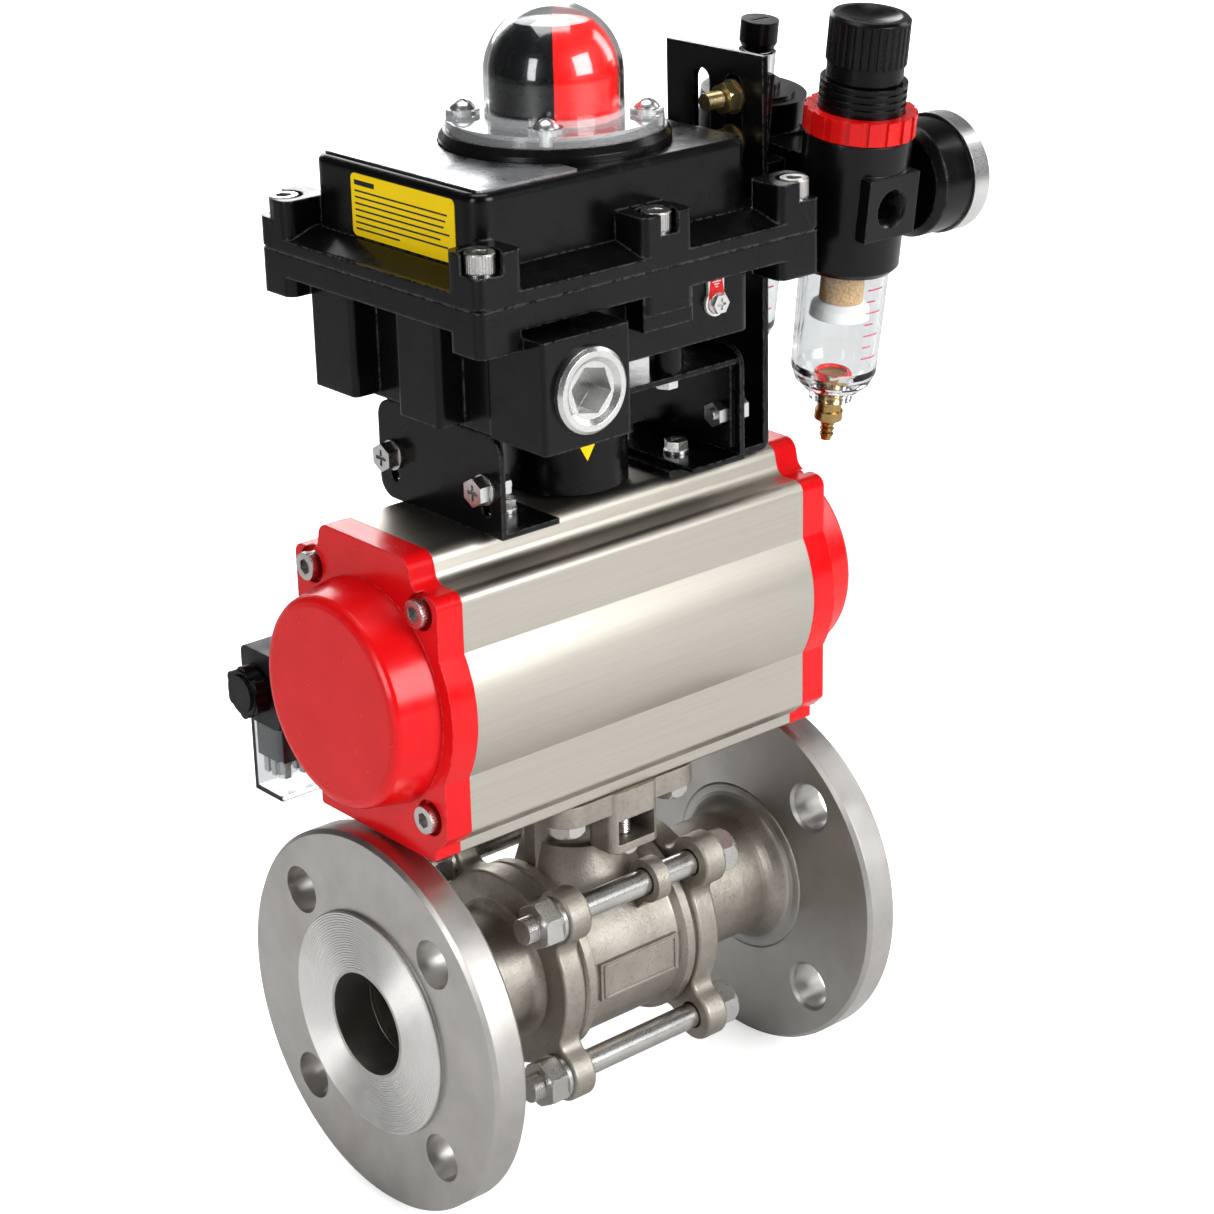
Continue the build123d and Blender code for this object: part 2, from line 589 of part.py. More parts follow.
def box_base():
    """Lower shell: lip, screw columns, deep and shallow wells, conduit port and feet."""
    base = rounded(BOX_X0, BOX_X1, -BOX_Y, BOX_Y, LIP_Z, PARTING_Z, 5)
    for column in box_columns(257.6, PARTING_Z):
        base += column
    base += block(-13, 9, -BOX_Y + 1.5, BOX_Y - 1.5, 252, LIP_Z + 1)
    base += rounded(-64.5, -24, -48, 48, BOX_FLOOR, LIP_Z + 1, 4)
    base += rounded(-40, 44.5, -50, 50, SHALLOW_FLOOR, LIP_Z + 1, 5)
    for y0, y1 in ((20, 44), (-27, -4)):
        base += rounded(-75, -55, y0, y1, BOX_FLOOR + 1.5, LIP_Z + 1, 2)
    base += rounded(PORT_X0, PORT_X1, PORT_Y, -40, BOX_FLOOR - 0.5, PORT_Z + 19, 1.5)
    for x, y in corners(26, 26):
        base += rod("Z", BRIDGE_Z + SHEET, SHALLOW_FLOOR + 1, 6, x, y)
    inner_x0, inner_x1, inner_y = -64.5 + BOX_WALL, 44.5 - BOX_WALL, 48 - BOX_WALL
    cavity = rounded(inner_x0, inner_x1, -inner_y, inner_y, SHALLOW_FLOOR + BOX_WALL, PARTING_Z + 1, 4)
    cavity += rounded(inner_x0, -24 - BOX_WALL, -inner_y, inner_y, BOX_FLOOR + BOX_WALL, PARTING_Z + 1, 3)
    base -= cavity
    for side in (-1, 1):
        y0, y1 = sorted((side * 51.5, side * (BOX_Y + 1)))
        for x0, x1 in ((-24, -13.5), (9.5, 20)):
            base -= block(x0, x1, y0, y1, 256, LIP_Z + 0.2) & block(-100, 100, -100, 100, 256, LIP_Z)
    base -= rod("Y", PORT_Y - 1, -40, 12.2, (PORT_X0 + PORT_X1) / 2, PORT_Z)
    base -= cone("Y", PORT_Y - 0.1, PORT_Y + 1.4, 13.7, 12.2, (PORT_X0 + PORT_X1) / 2, PORT_Z)
    base -= rod("Z", BRIDGE_Z, 260, 8 + JOURNAL_CLEARANCE / 2)
    for x, y in corners(26, 26):
        base -= rod("Z", BRIDGE_Z, BRIDGE_Z + 10, 2.2, x, y)
    for x, y in box_screw_places():
        base -= rod("Z", 259, PARTING_Z + 1, 2.6, x, y)
    base -= rod("Y", EARTH_Y - 1, EARTH_Y + 10, 1.9, EARTH_X, EARTH_Z)
    return base


def box_lid():
    """Upper shell: edge flange, sloped shoulder, raised block and notched screw bosses."""
    lid = rounded(BOX_X0, BOX_X1, -BOX_Y, BOX_Y, PARTING_Z, LID_EDGE_Z, 5)
    low = Pos((BOX_X0 + BOX_X1) / 2, 0, LID_EDGE_Z) * RectangleRounded(BOX_X1 - BOX_X0 - 3, 2 * BOX_Y - 3, 5)
    high = Pos((LID_X0 + LID_X1) / 2, 0, LID_EDGE_Z + 3.6) * RectangleRounded(
        LID_X1 - LID_X0 + 3, 2 * LID_Y + 3, 7)
    lid += loft([low, high])
    top = rounded(LID_X0, LID_X1, -LID_Y, LID_Y, LID_EDGE_Z, LID_TOP, 7)
    lid += fillet(top.faces().sort_by(Axis.Z)[-1].edges(), 2.5)
    for column in box_columns(PARTING_Z + 1, BOSS_TOP):
        lid += column
    lid -= rounded(LID_X0 + BOX_WALL, LID_X1 - BOX_WALL, -LID_Y + BOX_WALL, LID_Y - BOX_WALL,
                   PARTING_Z - 1, LID_TOP - BOX_WALL, 5)
    lid -= rod("Z", LID_TOP - 10, LID_TOP + 1, 30)
    for x, y in box_screw_places():
        lid -= rod("Z", PARTING_Z - 1, BOSS_TOP + 1, 2.9, x, y)
        lid -= rod("Z", BOSS_SEAT, BOSS_TOP + 1, 6.6, x, y)
        side = 1 if y > 0 else -1
        y0, y1 = sorted((y, side * (BOX_Y + 2)))
        out_x = 0 if x == BOX_SCREW_X[1] else (8.5 if x > 0 else -8.5)
        notch_x0, notch_x1 = sorted((x - (4 if out_x >= 0 else -4), x + out_x + (4 if out_x >= 0 else -4)))
        lid -= block(notch_x0, notch_x1, y0, y1, BOSS_SEAT, BOSS_TOP + 1)
    return lid


def conduit_plug():
    """Threaded blanking plug with a hexagon socket and a chamfered rim."""
    x = (PORT_X0 + PORT_X1) / 2
    rim = rod("Y", PORT_Y - 3.2, PORT_Y, 14.6, x, PORT_Z)
    rim = rim & cone("Y", PORT_Y - 3.2, PORT_Y, 13.4, 16.6, x, PORT_Z)
    plug = rim + rod("Y", PORT_Y, PORT_Y + 12, 12.1, x, PORT_Z)
    plug -= cone("Y", PORT_Y - 3.3, PORT_Y - 1.6, 11.6, 9.6, x, PORT_Z)
    return plug - hexagon("Y", PORT_Y - 4, PORT_Y + 8, 15, x, PORT_Z, 12)


def earth_tag():
    """Flat earthing tag that hangs under the lip and is held by a screw."""
    tag = block(EARTH_X - 3.6, EARTH_X + 3.6, EARTH_Y - 1.2, EARTH_Y, EARTH_Z, LIP_Z)
    tag += rod("Y", EARTH_Y - 1.2, EARTH_Y, 4.8, EARTH_X, EARTH_Z)
    return tag - rod("Y", EARTH_Y - 2, EARTH_Y + 1, 2, EARTH_X, EARTH_Z)


def nameplate():
    plate = rounded(-67, -25, -42, 42, LID_TOP, LID_TOP + 0.8, 1.5)
    return plate - rod("Z", LID_TOP - 1, LID_TOP + 2, DOME_BASE_R + 0.5)


def dome_ring():
    """Black seat ring under the indicator window."""
    ring = tube("Z", LID_TOP, DOME_RING_TOP, DOME_BASE_R, 22)
    ring = ring & cone("Z", LID_TOP, DOME_RING_TOP, DOME_BASE_R + 1.6, DOME_FLANGE_R + 0.9)
    for x, y in dome_screw_places():
        ring -= rod("Z", LID_TOP - 1, DOME_RING_TOP + 1, 2.1, x, y)
    return ring + tube("Z", LID_TOP - 3, LID_TOP, 29.3, 22)


def dome_screw_places():
    return [(31.5 * cos(radians(a)), 31.5 * sin(radians(a))) for a in (-45, 45, 135, 225)]


def indicator_dome():
    """Clear window: round flange with four screw lugs, straight wall and hemisphere."""
    flange_top = DOME_RING_TOP + 4
    flange = rod("Z", DOME_RING_TOP, flange_top, DOME_FLANGE_R)
    for x, y in dome_screw_places():
        flange += rod("Z", DOME_RING_TOP, DOME_LUG_TOP, 5.9, x, y)
    dome = flange + rod("Z", DOME_RING_TOP, LENS_CENTRE_Z, LENS_R) + Pos(0, 0, LENS_CENTRE_Z) * Sphere(LENS_R)
    inside = LENS_R - LENS_WALL
    dome -= rod("Z", DOME_RING_TOP - 1, LENS_CENTRE_Z, inside)
    dome -= Pos(0, 0, LENS_CENTRE_Z) * Sphere(inside)
    dome -= block(-50, 50, -50, 50, 260, DOME_RING_TOP)
    for x, y in dome_screw_places():
        dome -= rod("Z", DOME_RING_TOP - 1, DOME_LUG_TOP + 1, 2.2, x, y)
    return dome


def rotor_half(start):
    """Half of the position indicator: a hollow flat-topped shell over 180 degrees."""
    outer_r = LENS_R - LENS_WALL - 0.5
    inner_r = outer_r - 1.6
    inner_top = INDICATOR_TOP - 1.6
    centre = Pos(0, 0, LENS_CENTRE_Z)
    outer = rod("Z", DOME_RING_TOP + 1, LENS_CENTRE_Z, outer_r) + centre * Sphere(outer_r)
    inner = rod("Z", DOME_RING_TOP, LENS_CENTRE_Z, inner_r) + centre * Sphere(inner_r)
    outer = outer & block(-50, 50, 0, 50, DOME_RING_TOP + 1, INDICATOR_TOP)
    return Rot(0, 0, start) * (outer - (inner & block(-50, 50, -50, 50, 280, inner_top)))


def indicator_black():
    return rotor_half(INDICATOR_SPLIT) + rod("Z", LENS_CENTRE_Z, INDICATOR_TOP - 1.6, 6)


def indicator_red():
    return rotor_half(INDICATOR_SPLIT + 180)


def cam_shaft():
    """Shaft from the puck up to the indicator, with its two cams clamped on."""
    shaft = rod("Z", TOP_Z + 27, LENS_CENTRE_Z, 4) + rod("Z", BRIDGE_Z + 1, 258, 8 - JOURNAL_CLEARANCE)
    cams = []
    for i in range(2):
        z = 262 + 9 * i
        cam = tube("Z", z, z + 6, 12, 4)
        cams.append(cam + Rot(0, 0, 90 * i) * block(9, 14.5, -3, 3, z, z + 6))
    return group([shaft] + cams)


def switch_block():
    """Two snap-action switches beside the cams and the wiring terminal strip."""
    pieces = []
    for z in (261, 270.5):
        pieces.append(block(17, 36, 8, 28, z, z + 7) + block(25, 28, 5.5, 8.2, z + 2, z + 5))
    strip = block(20, 34, -40, 4, 243, 257)
    for i in range(7):
        strip -= rod("Z", 252, 258, 1.9, 27, -36 + 6 * i)
        strip -= block(19, 22.5, -37.7 + 6 * i, -34.3 + 6 * i, 247, 251)
    return group(pieces + [strip])


# ---------------------------------------------------------------- air set

def lean(shape):
    """Put a shape drawn in the air set's own frame (x, u, w) in its place."""
    return Pos(*AIR_ORIGIN) * Rot(LEAN, 0, 0) * shape


def air_set_plate():
    """Tall plate with two slots, bent at the foot that lies on the housing."""
    plate = block(PLATE_X, PLATE_X + PLATE_FOOT_T, PLATE_Y0, PLATE_Y1, TOP_Z, PLATE_TOP)
    plate += block(27, PLATE_X + 1, PLATE_Y0, PLATE_Y1, TOP_Z, TOP_Z + PLATE_FOOT_T)
    heel = plate.edges().filter_by(Axis.Y).sort_by(lambda e: e.center().X - e.center().Z)[-1]
    plate = fillet(heel, 4)
    for y in SLOT_Y:
        plate -= rod("X", 70, 80, SLOT_R, y, SLOT_TOP - SLOT_R)
        plate -= rod("X", 70, 80, SLOT_R, y, SLOT_BOTTOM + SLOT_R)
        plate -= block(70, 80, y - SLOT_R, y + SLOT_R, SLOT_BOTTOM + SLOT_R, SLOT_TOP - SLOT_R)
    for y in (-FOOT_HOLE[1], FOOT_HOLE[1]):
        plate -= rod("Z", TOP_Z - 1, TOP_Z + 4, 2.8, FOOT_HOLE[0], y)
    return plate


def stud_places():
    """The two studs in the air set's frame; both sit on the line of one plate slot."""
    places = []
    for z in STUD_Z:
        dy = SLOT_Y[0] - AIR_ORIGIN[1]
        dz = z - AIR_ORIGIN[2]
        c, s = cos(radians(LEAN)), sin(radians(LEAN))
        places.append((dy * c + dz * s, dz * c - dy * s))
    return places


def air_set_bracket():
    """Plate behind the two units with the spacer block that joins them."""
    back = PLATE_X + PLATE_FOOT_T - AIR_ORIGIN[0]
    bracket = block(back, back + 2.5, 21, 45, -14, 41)
    bracket += block(back + 1, -10, 24, 30, -12, 7)
    bracket += block(-11, 11, UNIT_HALF, UNIT_PITCH - UNIT_HALF, -11, 11)
    for u, w in stud_places():
        bracket -= rod("X", back - 1, back + 4, 3, u, w)
    return lean(bracket)


def plate_nuts():
    """Two studs, each with its hexagon nut and washer on the plate."""
    back = PLATE_X + PLATE_FOOT_T - AIR_ORIGIN[0]
    front = PLATE_X - AIR_ORIGIN[0]
    pieces = []
    for u, w in stud_places():
        pieces.append(rod("X", front - 14, back + 6, 2.95, u, w))
        nut = hexagon("X", front - 6, front - 1.2, 10, u, w) & cone("X", front - 6, front, 5.4, 7, u, w)
        pieces.append(nut - rod("X", front - 20, front, 3, u, w))
        pieces.append(tube("X", front - 1.2, front, 6.2, 3, u, w))
        pieces.append(hexagon("X", back + 2.5, back + 6.5, 10, u, w) - rod("X", back, back + 9, 3, u, w))
    return lean(group(pieces))


def unit_body(outer_side):
    """Body of one air unit: round core, square bosses along u, bowl socket and port."""
    core = rod("Z", -24.6, 22.8, 19.4) + cone("Z", -26.6, -24.6, 17.6, 19.4)
    core += block(-12.3, 12.3, -UNIT_HALF, UNIT_HALF, -11, 12)
    core -= rod("Z", -28, -12, BOWL_R + 0.15)
    core -= rod("Z", -13, 0, 9)
    port = rod("Y", outer_side * (UNIT_HALF - 12), outer_side * (UNIT_HALF + 1), PORT_R)
    mouth = cone("Y", outer_side * (UNIT_HALF - 1), outer_side * (UNIT_HALF + 0.1), PORT_R, PORT_R + 1.1)
    return core - port - mouth


def regulator_body():
    body = unit_body(-1) + rod("X", 10, 22, 8.5)
    body -= rod("Z", 8, 24, 15.7)
    return lean(body - rod("X", 14, 23, 5))


def regulator_bonnet():
    """Threaded bonnet with three grip grooves above the ring nut."""
    bonnet = rod("Z", 8.2, 42, 15.5)
    for w in (34.5, 37, 39.5):
        bonnet -= tube("Z", w, w + 1.1, 17, 14.7)
    bonnet -= rod("Z", 7, 39, 11.5)
    return lean(bonnet - rod("Z", 38, 43, 4.3))


def ring_nut():
    """Castellated lock ring with eighteen grip notches."""
    ring = tube("Z", 23, 31.6, 19.2, 15.65)
    for pad in ring_of(block(18.6, 20, -2.1, 2.1, 23.4, 31.6), 18):
        ring += pad
    return lean(ring)


def adjusting_screw():
    """Spindle turned by the knob, with the spring seat on its lower end."""
    screw = rod("Z", 22, 52, 4 - JOURNAL_CLEARANCE) + rod("Z", 20, 23, 8)
    return lean(screw)


def regulator_knob():
    """Fluted knob with a dished top; it lifts to unlock and turns the spindle."""
    knob = rod("Z", 48.5, 64, 14.3) + cone("Z", 64, 65, 14.3, 13.3) + rod("Z", 42.4, 49, 13.6)
    for flute in ring_of(rod("Z", 47.5, 63.4, 0.75, 14.6, 0), 32):
        knob -= flute
    knob -= Pos(0, 0, 65 + 24) * Sphere(26.4)
    knob -= rod("Z", 41, 55.5, 4)
    return lean(knob - tube("Z", 41, 52, 11.8, 6.5))


def bowl(u):
    """Clear bowl: straight wall, rounded bottom and open top, turned about w."""
    outer = [(-14, BOWL_R), (-67, BOWL_R - 0.8), (-71.5, BOWL_R - 2.6), (-74.6, BOWL_R - 5.6), (BOWL_END, 8.5)]
    inner = [(BOWL_END + 3, 6), (-71.4, BOWL_R - 7.6), (-68.6, BOWL_R - 4.6), (-65, BOWL_R - 3), (-14, BOWL_R - 2.2)]
    shell = turned(outer + [(BOWL_END, 0), (BOWL_END + 3, 0)] + inner, "Z")
    return Pos(0, u, 0) * shell


def filter_bowl():
    body = bowl(0) + rod("Z", BOWL_END - 3, BOWL_END + 1, 8)
    return lean(body - rod("Z", BOWL_END - 6, BOWL_END + 6, 4.6))


def filter_element():
    """Porous sleeve on its centre bolt, over the umbrella baffle."""
    element = tube("Z", -40, -13, 8, 5) + tube("Z", -13, -6.6, 8.9, 5) + rod("Z", -40, -34, 5.5)
    baffle = turned([(-40.2, 0), (-40.2, 8), (-42, 10.6), (-46, 11), (-46, 9.8), (-43.4, 9), (-42, 0)], "Z")
    return lean(group([element, baffle]))


def drain_valve():
    """Push drain: disc and stem inside the bowl, hexagon and hose barb below."""
    stem = rod("Z", -84, -70.5, 4.5) + rod("Z", -71.5, -69, 7) + rod("Z", -87.5, -84, 5.2)
    stem += cone("Z", -90, -87.5, 2.2, 4.2) + rod("Z", -96, -89, 1.9)
    for w in (-95.5, -93.4, -91.3):
        stem += cone("Z", w, w + 1.8, 1.9, 2.7)
    return lean(stem - rod("Z", -97, -80, 1))


def gauge_case():
    """Cup of the pressure gauge with its brass-threaded spigot and dial plate."""
    case = cone("X", 24, 27, 18.5, 21) + rod("X", 27, 44, 21)
    case -= rod("X", 40, 45, 19.4)
    return lean(case + rod("X", 14.2, 25, 5))


def gauge_bezel():
    ring = turned([(40.5, 21.1), (40.5, 22), (48, 22), (GAUGE_FACE, 20.8), (GAUGE_FACE, 18.4),
                   (46, 18.4), (46, 21.1)])
    return lean(ring)


def gauge_lens():
    return lean(rod("X", 44.2, 45.8, 21))


def gauge_needle():
    """Pointer with its hub, at rest on the zero mark."""
    needle = rod("X", 41, 43, 1.8) + Rot(135, 0, 0) * block(41.6, 42.4, -0.6, 0.6, -4, 14)
    return lean(needle)


def lubricator_body():
    body = unit_body(1) + rod("Z", 22, 24, 15) + rod("Z", 23, 27, 9.4)
    body -= rod("Z", 5, 28, 5)
    return lean(Pos(0, UNIT_PITCH, 0) * body)


def lubricator_bowl():
    return lean(bowl(UNIT_PITCH))


def sight_dome():
    """Clear drip window with the oil pick-up tube below it."""
    window = tube("Z", 24.2, 37.6, 6.8, 5.2) & rod("Z", 27, 40, 6.8)
    spigot = tube("Z", 8, 27.2, 4.95, 3.6)
    pickup = tube("Z", -66, 0, 2.4, 1.4)
    return lean(Pos(0, UNIT_PITCH, 0) * group([window + spigot, pickup]))


def oil_knob():
    """Drip-rate knob on a needle stem."""
    knob = cone("Z", 37.9, 41, 5.4, 6.9) + rod("Z", 41, 49, 6.9) + rod("Z", 14, 38, 1.6)
    return lean(Pos(0, UNIT_PITCH, 0) * (knob - block(-4, 4, -0.5, 0.5, 48, 50)))


# ---------------------------------------------------------------- solenoid valve

def solenoid_body():
    """Spool valve block bolted to the back of the housing, with three ports behind."""
    body = rounded(-66, 44, SOLENOID_Y0, SOLENOID_Y1, 101, 147, 3)
    y, z = SOLENOID_AXIS
    body -= rod("X", -50, 36, 8 + JOURNAL_CLEARANCE, y, 128)
    for x in (-26, 0, 26):
        body -= rod("Y", SOLENOID_Y1 - 9, SOLENOID_Y1 + 1, 5.7, x, 110)
    for x, z_hole in ((-16, AXIS_Z + 12), (16, AXIS_Z - 12)):
        body -= rod("Y", SOLENOID_Y0 - 1, SOLENOID_Y1 + 1, 2.1, x, z_hole)
        body -= rod("Y", SOLENOID_Y1 - 6, SOLENOID_Y1 + 1, 4.4, x, z_hole)
    return body + rod("X", -96.5, -65, 4.4, y, z)


def valve_spool():
    spool = rod("X", -49, 28, 4, 60, 128)
    for x in (-49, -30, -11, 8, 21):
        spool += rod("X", x, x + 7, 8, 60, 128)
    return spool


def solenoid_coil():
    """Moulded coil on the armature tube, with the terminal insert of its connector."""
    y, z = SOLENOID_AXIS
    coil = block(-96, -66.5, y - 11, y + 11, 97.4, 126)
    coil = fillet(coil.edges().filter_by(Axis.X), 3)
    coil -= rod("X", -100, -60, 4.5, y, z)
    insert = block(-93, -72, y - 7.2, y + 7.2, 83, 97)
    return group([coil, insert])


def coil_nut():
    """Six-lobed plastic nut that holds the coil."""
    y, z = SOLENOID_AXIS
    nut = rod("X", -104, -98, 8.6, y, z) + rod("X", -98, -96.6, 7, y, z) + rod("X", -105, -104, 7, y, z)
    for i in range(6):
        a = radians(60 * i + 30)
        nut += rod("X", -103.6, -98, 2.6, y + 7.6 * cos(a), z + 7.6 * sin(a))
    return nut


def din_connector():
    """Clear cable housing below the coil."""
    y = SOLENOID_AXIS[0]
    shell = rounded(-95.5, -69.5, y - 9, y + 9, 69, 97.2, 1.2)
    return shell - rounded(-94, -71, y - 7.5, y + 7.5, 70.5, 98, 0.8)


# ---------------------------------------------------------------- save

PARTS = {
    "valve_body": valve_body, "inlet_end_cap": end_cap, "outlet_end_cap": lambda: mirrored(end_cap()),
    "inlet_pipe_flange": pipe_flange, "outlet_pipe_flange": lambda: mirrored(pipe_flange()),
    "ball": ball, "valve_seals": valve_seals, "stem": stem, "packing_gland": packing_gland,
    "body_bolts": body_bolts, "actuator_mount_bolts": actuator_mount_bolts,
    "actuator_body": actuator_body, "end_cap_left": end_cap_left,
    "end_cap_right": lambda: mirrored(end_cap_left()), "socket_screws": socket_screws,
    "cover_seals": cover_seals, "piston_left": piston_left,
    "piston_right": lambda: Rot(0, 0, 180) * piston_left(), "pinion": pinion,
    "pinion_bearings": pinion_bearings, "position_puck": position_puck,
    "bracket_left": bracket_left, "bracket_right": bracket_right, "bracket_bridge": bracket_bridge,
    "cross_screws": cross_screws, "box_base": box_base, "box_lid": box_lid,
    "conduit_plug": conduit_plug, "earth_tag": earth_tag, "nameplate": nameplate,
    "dome_ring": dome_ring, "indicator_dome": indicator_dome, "indicator_black": indicator_black,
    "indicator_red": indicator_red, "cam_shaft": cam_shaft, "switch_block": switch_block,
    "air_set_plate": air_set_plate, "air_set_bracket": air_set_bracket, "plate_nuts": plate_nuts,
    "regulator_body": regulator_body, "regulator_bonnet": regulator_bonnet, "ring_nut": ring_nut,
    "adjusting_screw": adjusting_screw, "regulator_knob": regulator_knob, "filter_bowl": filter_bowl,
    "filter_element": filter_element, "drain_valve": drain_valve,
    "gauge_case": gauge_case, "gauge_bezel": gauge_bezel, "gauge_lens": gauge_lens,
    "gauge_needle": gauge_needle, "lubricator_body": lubricator_body,
    "lubricator_bowl": lubricator_bowl, "sight_dome": sight_dome, "oil_knob": oil_knob,
    "solenoid_body": solenoid_body, "valve_spool": valve_spool, "solenoid_coil": solenoid_coil,
    "coil_nut": coil_nut, "din_connector": din_connector,
}


def main():
    os.makedirs("parts", exist_ok=True)
    for name, make in PARTS.items():
        export_step(Pos(HALF, 0, 0) * make(), os.path.join("parts", name + ".step"))
        print(name)


main()
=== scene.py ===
import json
from math import copysign, cos, sin, radians, pi

import bpy
from mathutils import Matrix, Vector


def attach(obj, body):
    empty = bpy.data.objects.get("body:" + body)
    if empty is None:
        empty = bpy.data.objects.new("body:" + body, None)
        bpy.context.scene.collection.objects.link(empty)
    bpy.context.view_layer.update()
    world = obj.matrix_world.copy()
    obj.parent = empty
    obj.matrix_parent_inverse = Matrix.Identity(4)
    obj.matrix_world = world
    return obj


# Looks of the pneumatic ball valve. Metres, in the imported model's frame: +X along the pipe,
# +Z up the stem, origin at the inlet port's mouth. Small sizes are written in millimetres.

MM = 0.001
PIPE_LENGTH = 200  # between the two gasket faces
STEM_X = 100
AIR_ORIGIN = Vector((201, -42.5, 276.8))  # middle of the regulator body
AIR_LEAN = radians(7.5)
LUBRICATOR_U = 54  # from the regulator's axis
DOME_FLANGE_TOP = 317.5
FLOOR_Z = -0.0735  # metres, just under the pipe flanges

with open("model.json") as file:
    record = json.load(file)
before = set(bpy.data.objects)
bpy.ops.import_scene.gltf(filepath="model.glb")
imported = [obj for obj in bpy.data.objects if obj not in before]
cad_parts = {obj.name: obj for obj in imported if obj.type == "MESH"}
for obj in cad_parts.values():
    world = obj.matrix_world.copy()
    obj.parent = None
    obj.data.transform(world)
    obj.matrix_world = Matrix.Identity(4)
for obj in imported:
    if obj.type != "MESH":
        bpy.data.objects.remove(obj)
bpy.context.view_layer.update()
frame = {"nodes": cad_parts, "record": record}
NODES = frame["nodes"]


# ---------------------------------------------------------------- camera, stage, lights

def photo_camera():
    """Long lens from the front left and a little above."""
    azimuth, elevation, roll = radians(-40.32), radians(21.78), radians(-1.36)
    place = (-0.5323, -0.7665, 0.5304)
    back = Vector((sin(azimuth) * cos(elevation), -cos(azimuth) * cos(elevation), sin(elevation)))
    level = Vector((cos(azimuth), sin(azimuth), 0))
    upright = back.cross(level)
    right = cos(roll) * level + sin(roll) * upright
    up = back.cross(right)
    data = bpy.data.cameras.new("photo_camera")
    data.sensor_width = 36
    data.lens = 87.33
    data.clip_end = 50
    camera = bpy.data.objects.new("photo_camera", data)
    turn = Matrix((right, up, back)).transposed().to_4x4()
    camera.matrix_world = Matrix.Translation(place) @ turn
    bpy.context.scene.collection.objects.link(camera)
    bpy.context.scene.camera = camera


def area_light(name, place, target, size, power):
    data = bpy.data.lights.new(name, "AREA")
    data.shape = "RECTANGLE"
    data.size, data.size_y = size
    data.energy = power
    light = bpy.data.objects.new(name, data)
    aim = Vector(target) - Vector(place)
    turn = aim.to_track_quat("-Z", "Y").to_matrix().to_4x4()
    light.matrix_world = Matrix.Translation(place) @ turn
    bpy.context.scene.collection.objects.link(light)


def sweep_mesh():
    """Flat floor that curves up into a wall behind the object."""
    view = Vector((0.647, 0.762, 0))
    side = Vector((0.762, -0.647, 0))
    centre = Vector((0.1, 0, FLOOR_Z))
    near, bend, radius, top, half_width = -4.0, 1.6, 1.2, 6.0, 4.5
    profile = [(near, 0.0), (bend, 0.0)]
    for step in range(1, 11):
        angle = radians(9 * step)
        profile.append((bend + radius * sin(angle), radius - radius * cos(angle)))
    profile.append((bend + radius, top))
    verts, faces = [], []
    for distance, height in profile:
        for across in (-half_width, half_width):
            verts.append(centre + view * distance + side * across + Vector((0, 0, height)))
    for i in range(len(profile) - 1):
        faces.append((2 * i, 2 * i + 1, 2 * i + 3, 2 * i + 2))
    mesh = bpy.data.meshes.new("floor")
    mesh.from_pydata(verts, [], faces)
    mesh.polygons.foreach_set("use_smooth", [True] * len(faces))
    return mesh


def floor_look():
    """Pale matt floor, a little darker in reflections and evenly white far from the lights."""
    look = Look("pale_floor")
    glossy = look.add("ShaderNodeLightPath").outputs["Is Glossy Ray"]
    tone = look.mix(look.noise(6, 2), (0.88, 0.88, 0.88), (0.90, 0.90, 0.90))
    tone = look.mix(glossy, tone, (0.70, 0.70, 0.70))
    look.set(tone, rough=0.9, specular=0.1)
    look.shader.inputs["Emission Color"].default_value = (1, 1, 1, 1)
    seen = look.add("ShaderNodeLightPath").outputs["Is Camera Ray"]
    away = look.length(look.axis("X"), look.axis("Y"))
    glow = look.spread(away, 0.9, 2.6, 0.5, 1.1)
    look.feed(look.shader.inputs["Emission Strength"], look.math("MULTIPLY", seen, glow))
    return look.material


def studio_world():
    """White background for the camera, faint fill light for everything else."""
    world = bpy.data.worlds.new("studio")
    world.use_nodes = True
    tree = world.node_tree
    background = tree.nodes["Background"]
    background.inputs["Color"].default_value = (0.97, 0.98, 1, 1)
    seen = tree.nodes.new("ShaderNodeLightPath").outputs["Is Camera Ray"]
    level = tree.nodes.new("ShaderNodeMapRange")
    level.inputs["To Min"].default_value = 0.07
    level.inputs["To Max"].default_value = 1.0
    tree.links.new(seen, level.inputs["Value"])
    tree.links.new(level.outputs["Result"], background.inputs["Strength"])
    bpy.context.scene.world = world


def studio():
    """Pale sweep behind the object and large soft boxes round it."""
    mesh = sweep_mesh()
    floor = bpy.data.objects.new("floor", mesh)
    bpy.context.scene.collection.objects.link(floor)
    mesh.materials.append(floor_look())
    studio_world()
    middle = (0.1, 0, 0.14)
    area_light("left_box", (-1.9, -0.5, 0.8), middle, (0.5, 1.3), 16)
    area_light("front_box", (0.55, -1.9, 0.9), middle, (1.1, 1.1), 32)
    area_light("top_box", (0.15, 0.1, 1.9), middle, (1.3, 0.9), 16)
    area_light("right_box", (1.7, -0.4, 0.8), middle, (0.5, 1.2), 7)
    area_light("rear_box", (0.9, 1.6, 0.9), middle, (1.3, 0.9), 12)
    bpy.context.scene.view_settings.view_transform = "Standard"
    bpy.context.scene.view_settings.look = "Medium High Contrast"


# ---------------------------------------------------------------- materials

